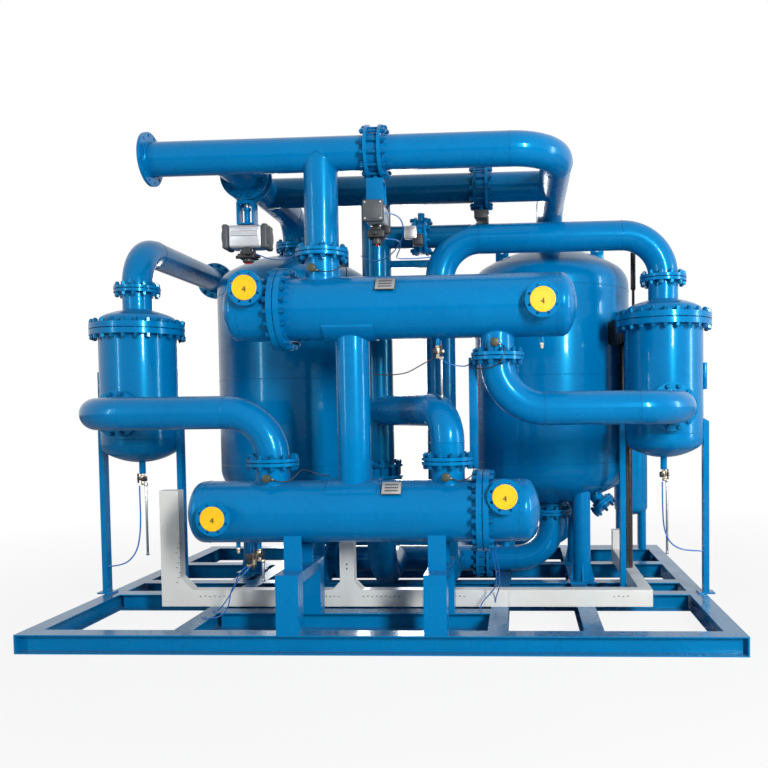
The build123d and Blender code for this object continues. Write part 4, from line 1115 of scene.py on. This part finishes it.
# Cable trunking: folded steel sheet, painted light grey, with punched slots for the cables.
# Its lids are screwed on, and it stands on the skid in front of the tanks.
trunking_paint = grained(
    "trunking_grey_paint", (0.6, 0.61, 0.58), (0.72, 0.72, 0.68), 5, (0.3, 0.5), 0.0, 0.05
)
paint_nodes(trunking_paint, "cable_tray")
# The slots are not cut: each is a thin dark block on the face, and its near-black is painted shade for the
# inside of the hole.
slot_shadow = grained("slot_shadow", (0.01, 0.01, 0.01), (0.03, 0.03, 0.03), 80, (0.7, 0.9))
face_y = -0.9152
slot_y = face_y - 0.002
slots = []
for start, stop, z, step in (
    (-1.39, -1.19, 0.197, 0.035), (-0.5, -0.39, 0.197, 0.03), (-0.2, 0.04, 0.197, 0.032),
    (0.46, 0.52, 0.197, 0.032), (1.58, 1.68, 0.197, 0.032),
):
    count = int((stop - start) / step + 0.5)
    for index in range(count + 1):
        spot = (start + index * step, slot_y, z + 0.004 * (index % 2))
        slots.append(block((0.014, 0.0014, 0.005), spot, 0.0006, 1))
for index in range(9):
    spot = (-1.56 + 0.012 * (index % 3), slot_y, 0.3 + 0.036 * index)
    slots.append(block((0.012, 0.0014, 0.005), spot, 0.0006, 1))
for z in (0.43, 0.398):
    slots.append(turned(0.006, 0.0014, (-0.317, slot_y + 0.0008, z), back, 0.0004, 16))
finished(slots, "trunking_slots", slot_shadow)
lids = [
    block((width, 0.003, height), (x, face_y, z), 0.001, 1)
    for width, height, x, z in (
        (1.14, 0.104, -0.946, 0.186), (1.01, 0.104, 0.31, 0.186), (0.98, 0.104, 1.33, 0.186),
        (0.125, 0.64, -1.6065, 0.63),
    )
]
finished(lids, "trunking_lids", trunking_paint)

# Riser beside the right-hand tank: a black plastic-coated pipe, clipped to the skid,
# with a screwed ring and a round valve head near its top.
riser_plastic = grained(
    "riser_black", (0.006, 0.006, 0.007), (0.016, 0.016, 0.018), 70, (0.18, 0.34), 0.0, 0.1
)
paint_nodes(riser_plastic, "vertical_conduit")
conduit_x = 1.775
conduit_y = -0.092
valve_head_way = (1, 0.9, 0)
riser_parts = [
    turned(0.056, 0.022, (conduit_x, conduit_y, 1.86), up, 0.004, 48),
    turned(0.06, 0.08, (conduit_x, conduit_y, 2.25), up, 0.01, 48),
    turned(0.04, 0.16, (1.735, -0.15, 2.11), valve_head_way, 0.008, 40),
    turned(0.105, 0.02, (1.68, -0.215, 2.11), valve_head_way, 0.008, 48),
    block((0.04, 0.02, 0.3), (1.835, -0.12, 2.6), 0.01, 3),
    block((0.022, 0.016, 0.3), (1.835, -0.12, 2.38), 0.006, 2),
    block((0.08, 0.06, 0.04), (1.81, -0.105, 2.27), 0.008, 2),
]
finished(riser_parts, "riser_valve_fittings", riser_plastic)

# Sensor cable duct: a flat blue steel channel, screwed between the two cooler joints.
# The black rubber cables of the temperature sensors run into it and along the coolers.
duct = block((0.056, 0.02, 0.728), (0.628, -1.29, 1.5), 0.003)
finished([duct], "sensor_cable_duct", pipe_paint)
cable_rubber = grained("cable_rubber", (0.008, 0.008, 0.009), (0.018, 0.018, 0.02), 60, (0.4, 0.6))
cable_diameter = 0.007
for name, length, route in (
    ("lower_right_sensor_cable", 0.277, (
        (0.495, -1.485, 1.086), (0.545, -1.485, 1.068), (0.6, -1.44, 1.083), (0.628, -1.36, 1.11),
        (0.628, -1.304, 1.154),
    )),
    ("lower_left_sensor_cable", 0.408, (
        (-0.658, -1.485, 1.086), (-0.6, -1.485, 1.07), (-0.54, -1.46, 1.085), (-0.495, -1.42, 1.15),
        (-0.455, -1.38, 1.14), (-0.39, -1.345, 1.105), (-0.322, -1.345, 1.098),
    )),
    ("inlet_sensor_cable", 0.342, (
        (-0.34, -1.481, 2.42), (-0.29, -1.52, 2.402), (-0.235, -1.53, 2.404), (-0.195, -1.5, 2.435),
        (-0.175, -1.45, 2.462), (-0.172, -1.4, 2.44), (-0.178, -1.375, 2.41), (-0.184, -1.362, 2.397),
    )),
    ("upper_outlet_sensor_cable", 0.533, (
        (0.812, -1.485, 1.934), (0.848, -1.535, 1.918), (0.845, -1.565, 1.86), (0.8, -1.56, 1.8),
        (0.73, -1.51, 1.78), (0.655, -1.42, 1.785), (0.622, -1.35, 1.792), (0.616, -1.315, 1.81),
        (0.618, -1.304, 1.832),
    )),
    ("upper_drain_cable", 0.541, (
        (-0.022, -1.352, 1.764), (0.055, -1.35, 1.756), (0.135, -1.345, 1.758), (0.205, -1.345, 1.77),
        (0.262, -1.35, 1.8), (0.325, -1.36, 1.834), (0.362, -1.358, 1.848), (0.378, -1.342, 1.872),
        (0.384, -1.332, 1.92), (0.385, -1.335, 1.978),
    )),
):
    free_cord(name, route, cable_diameter, cable_rubber)
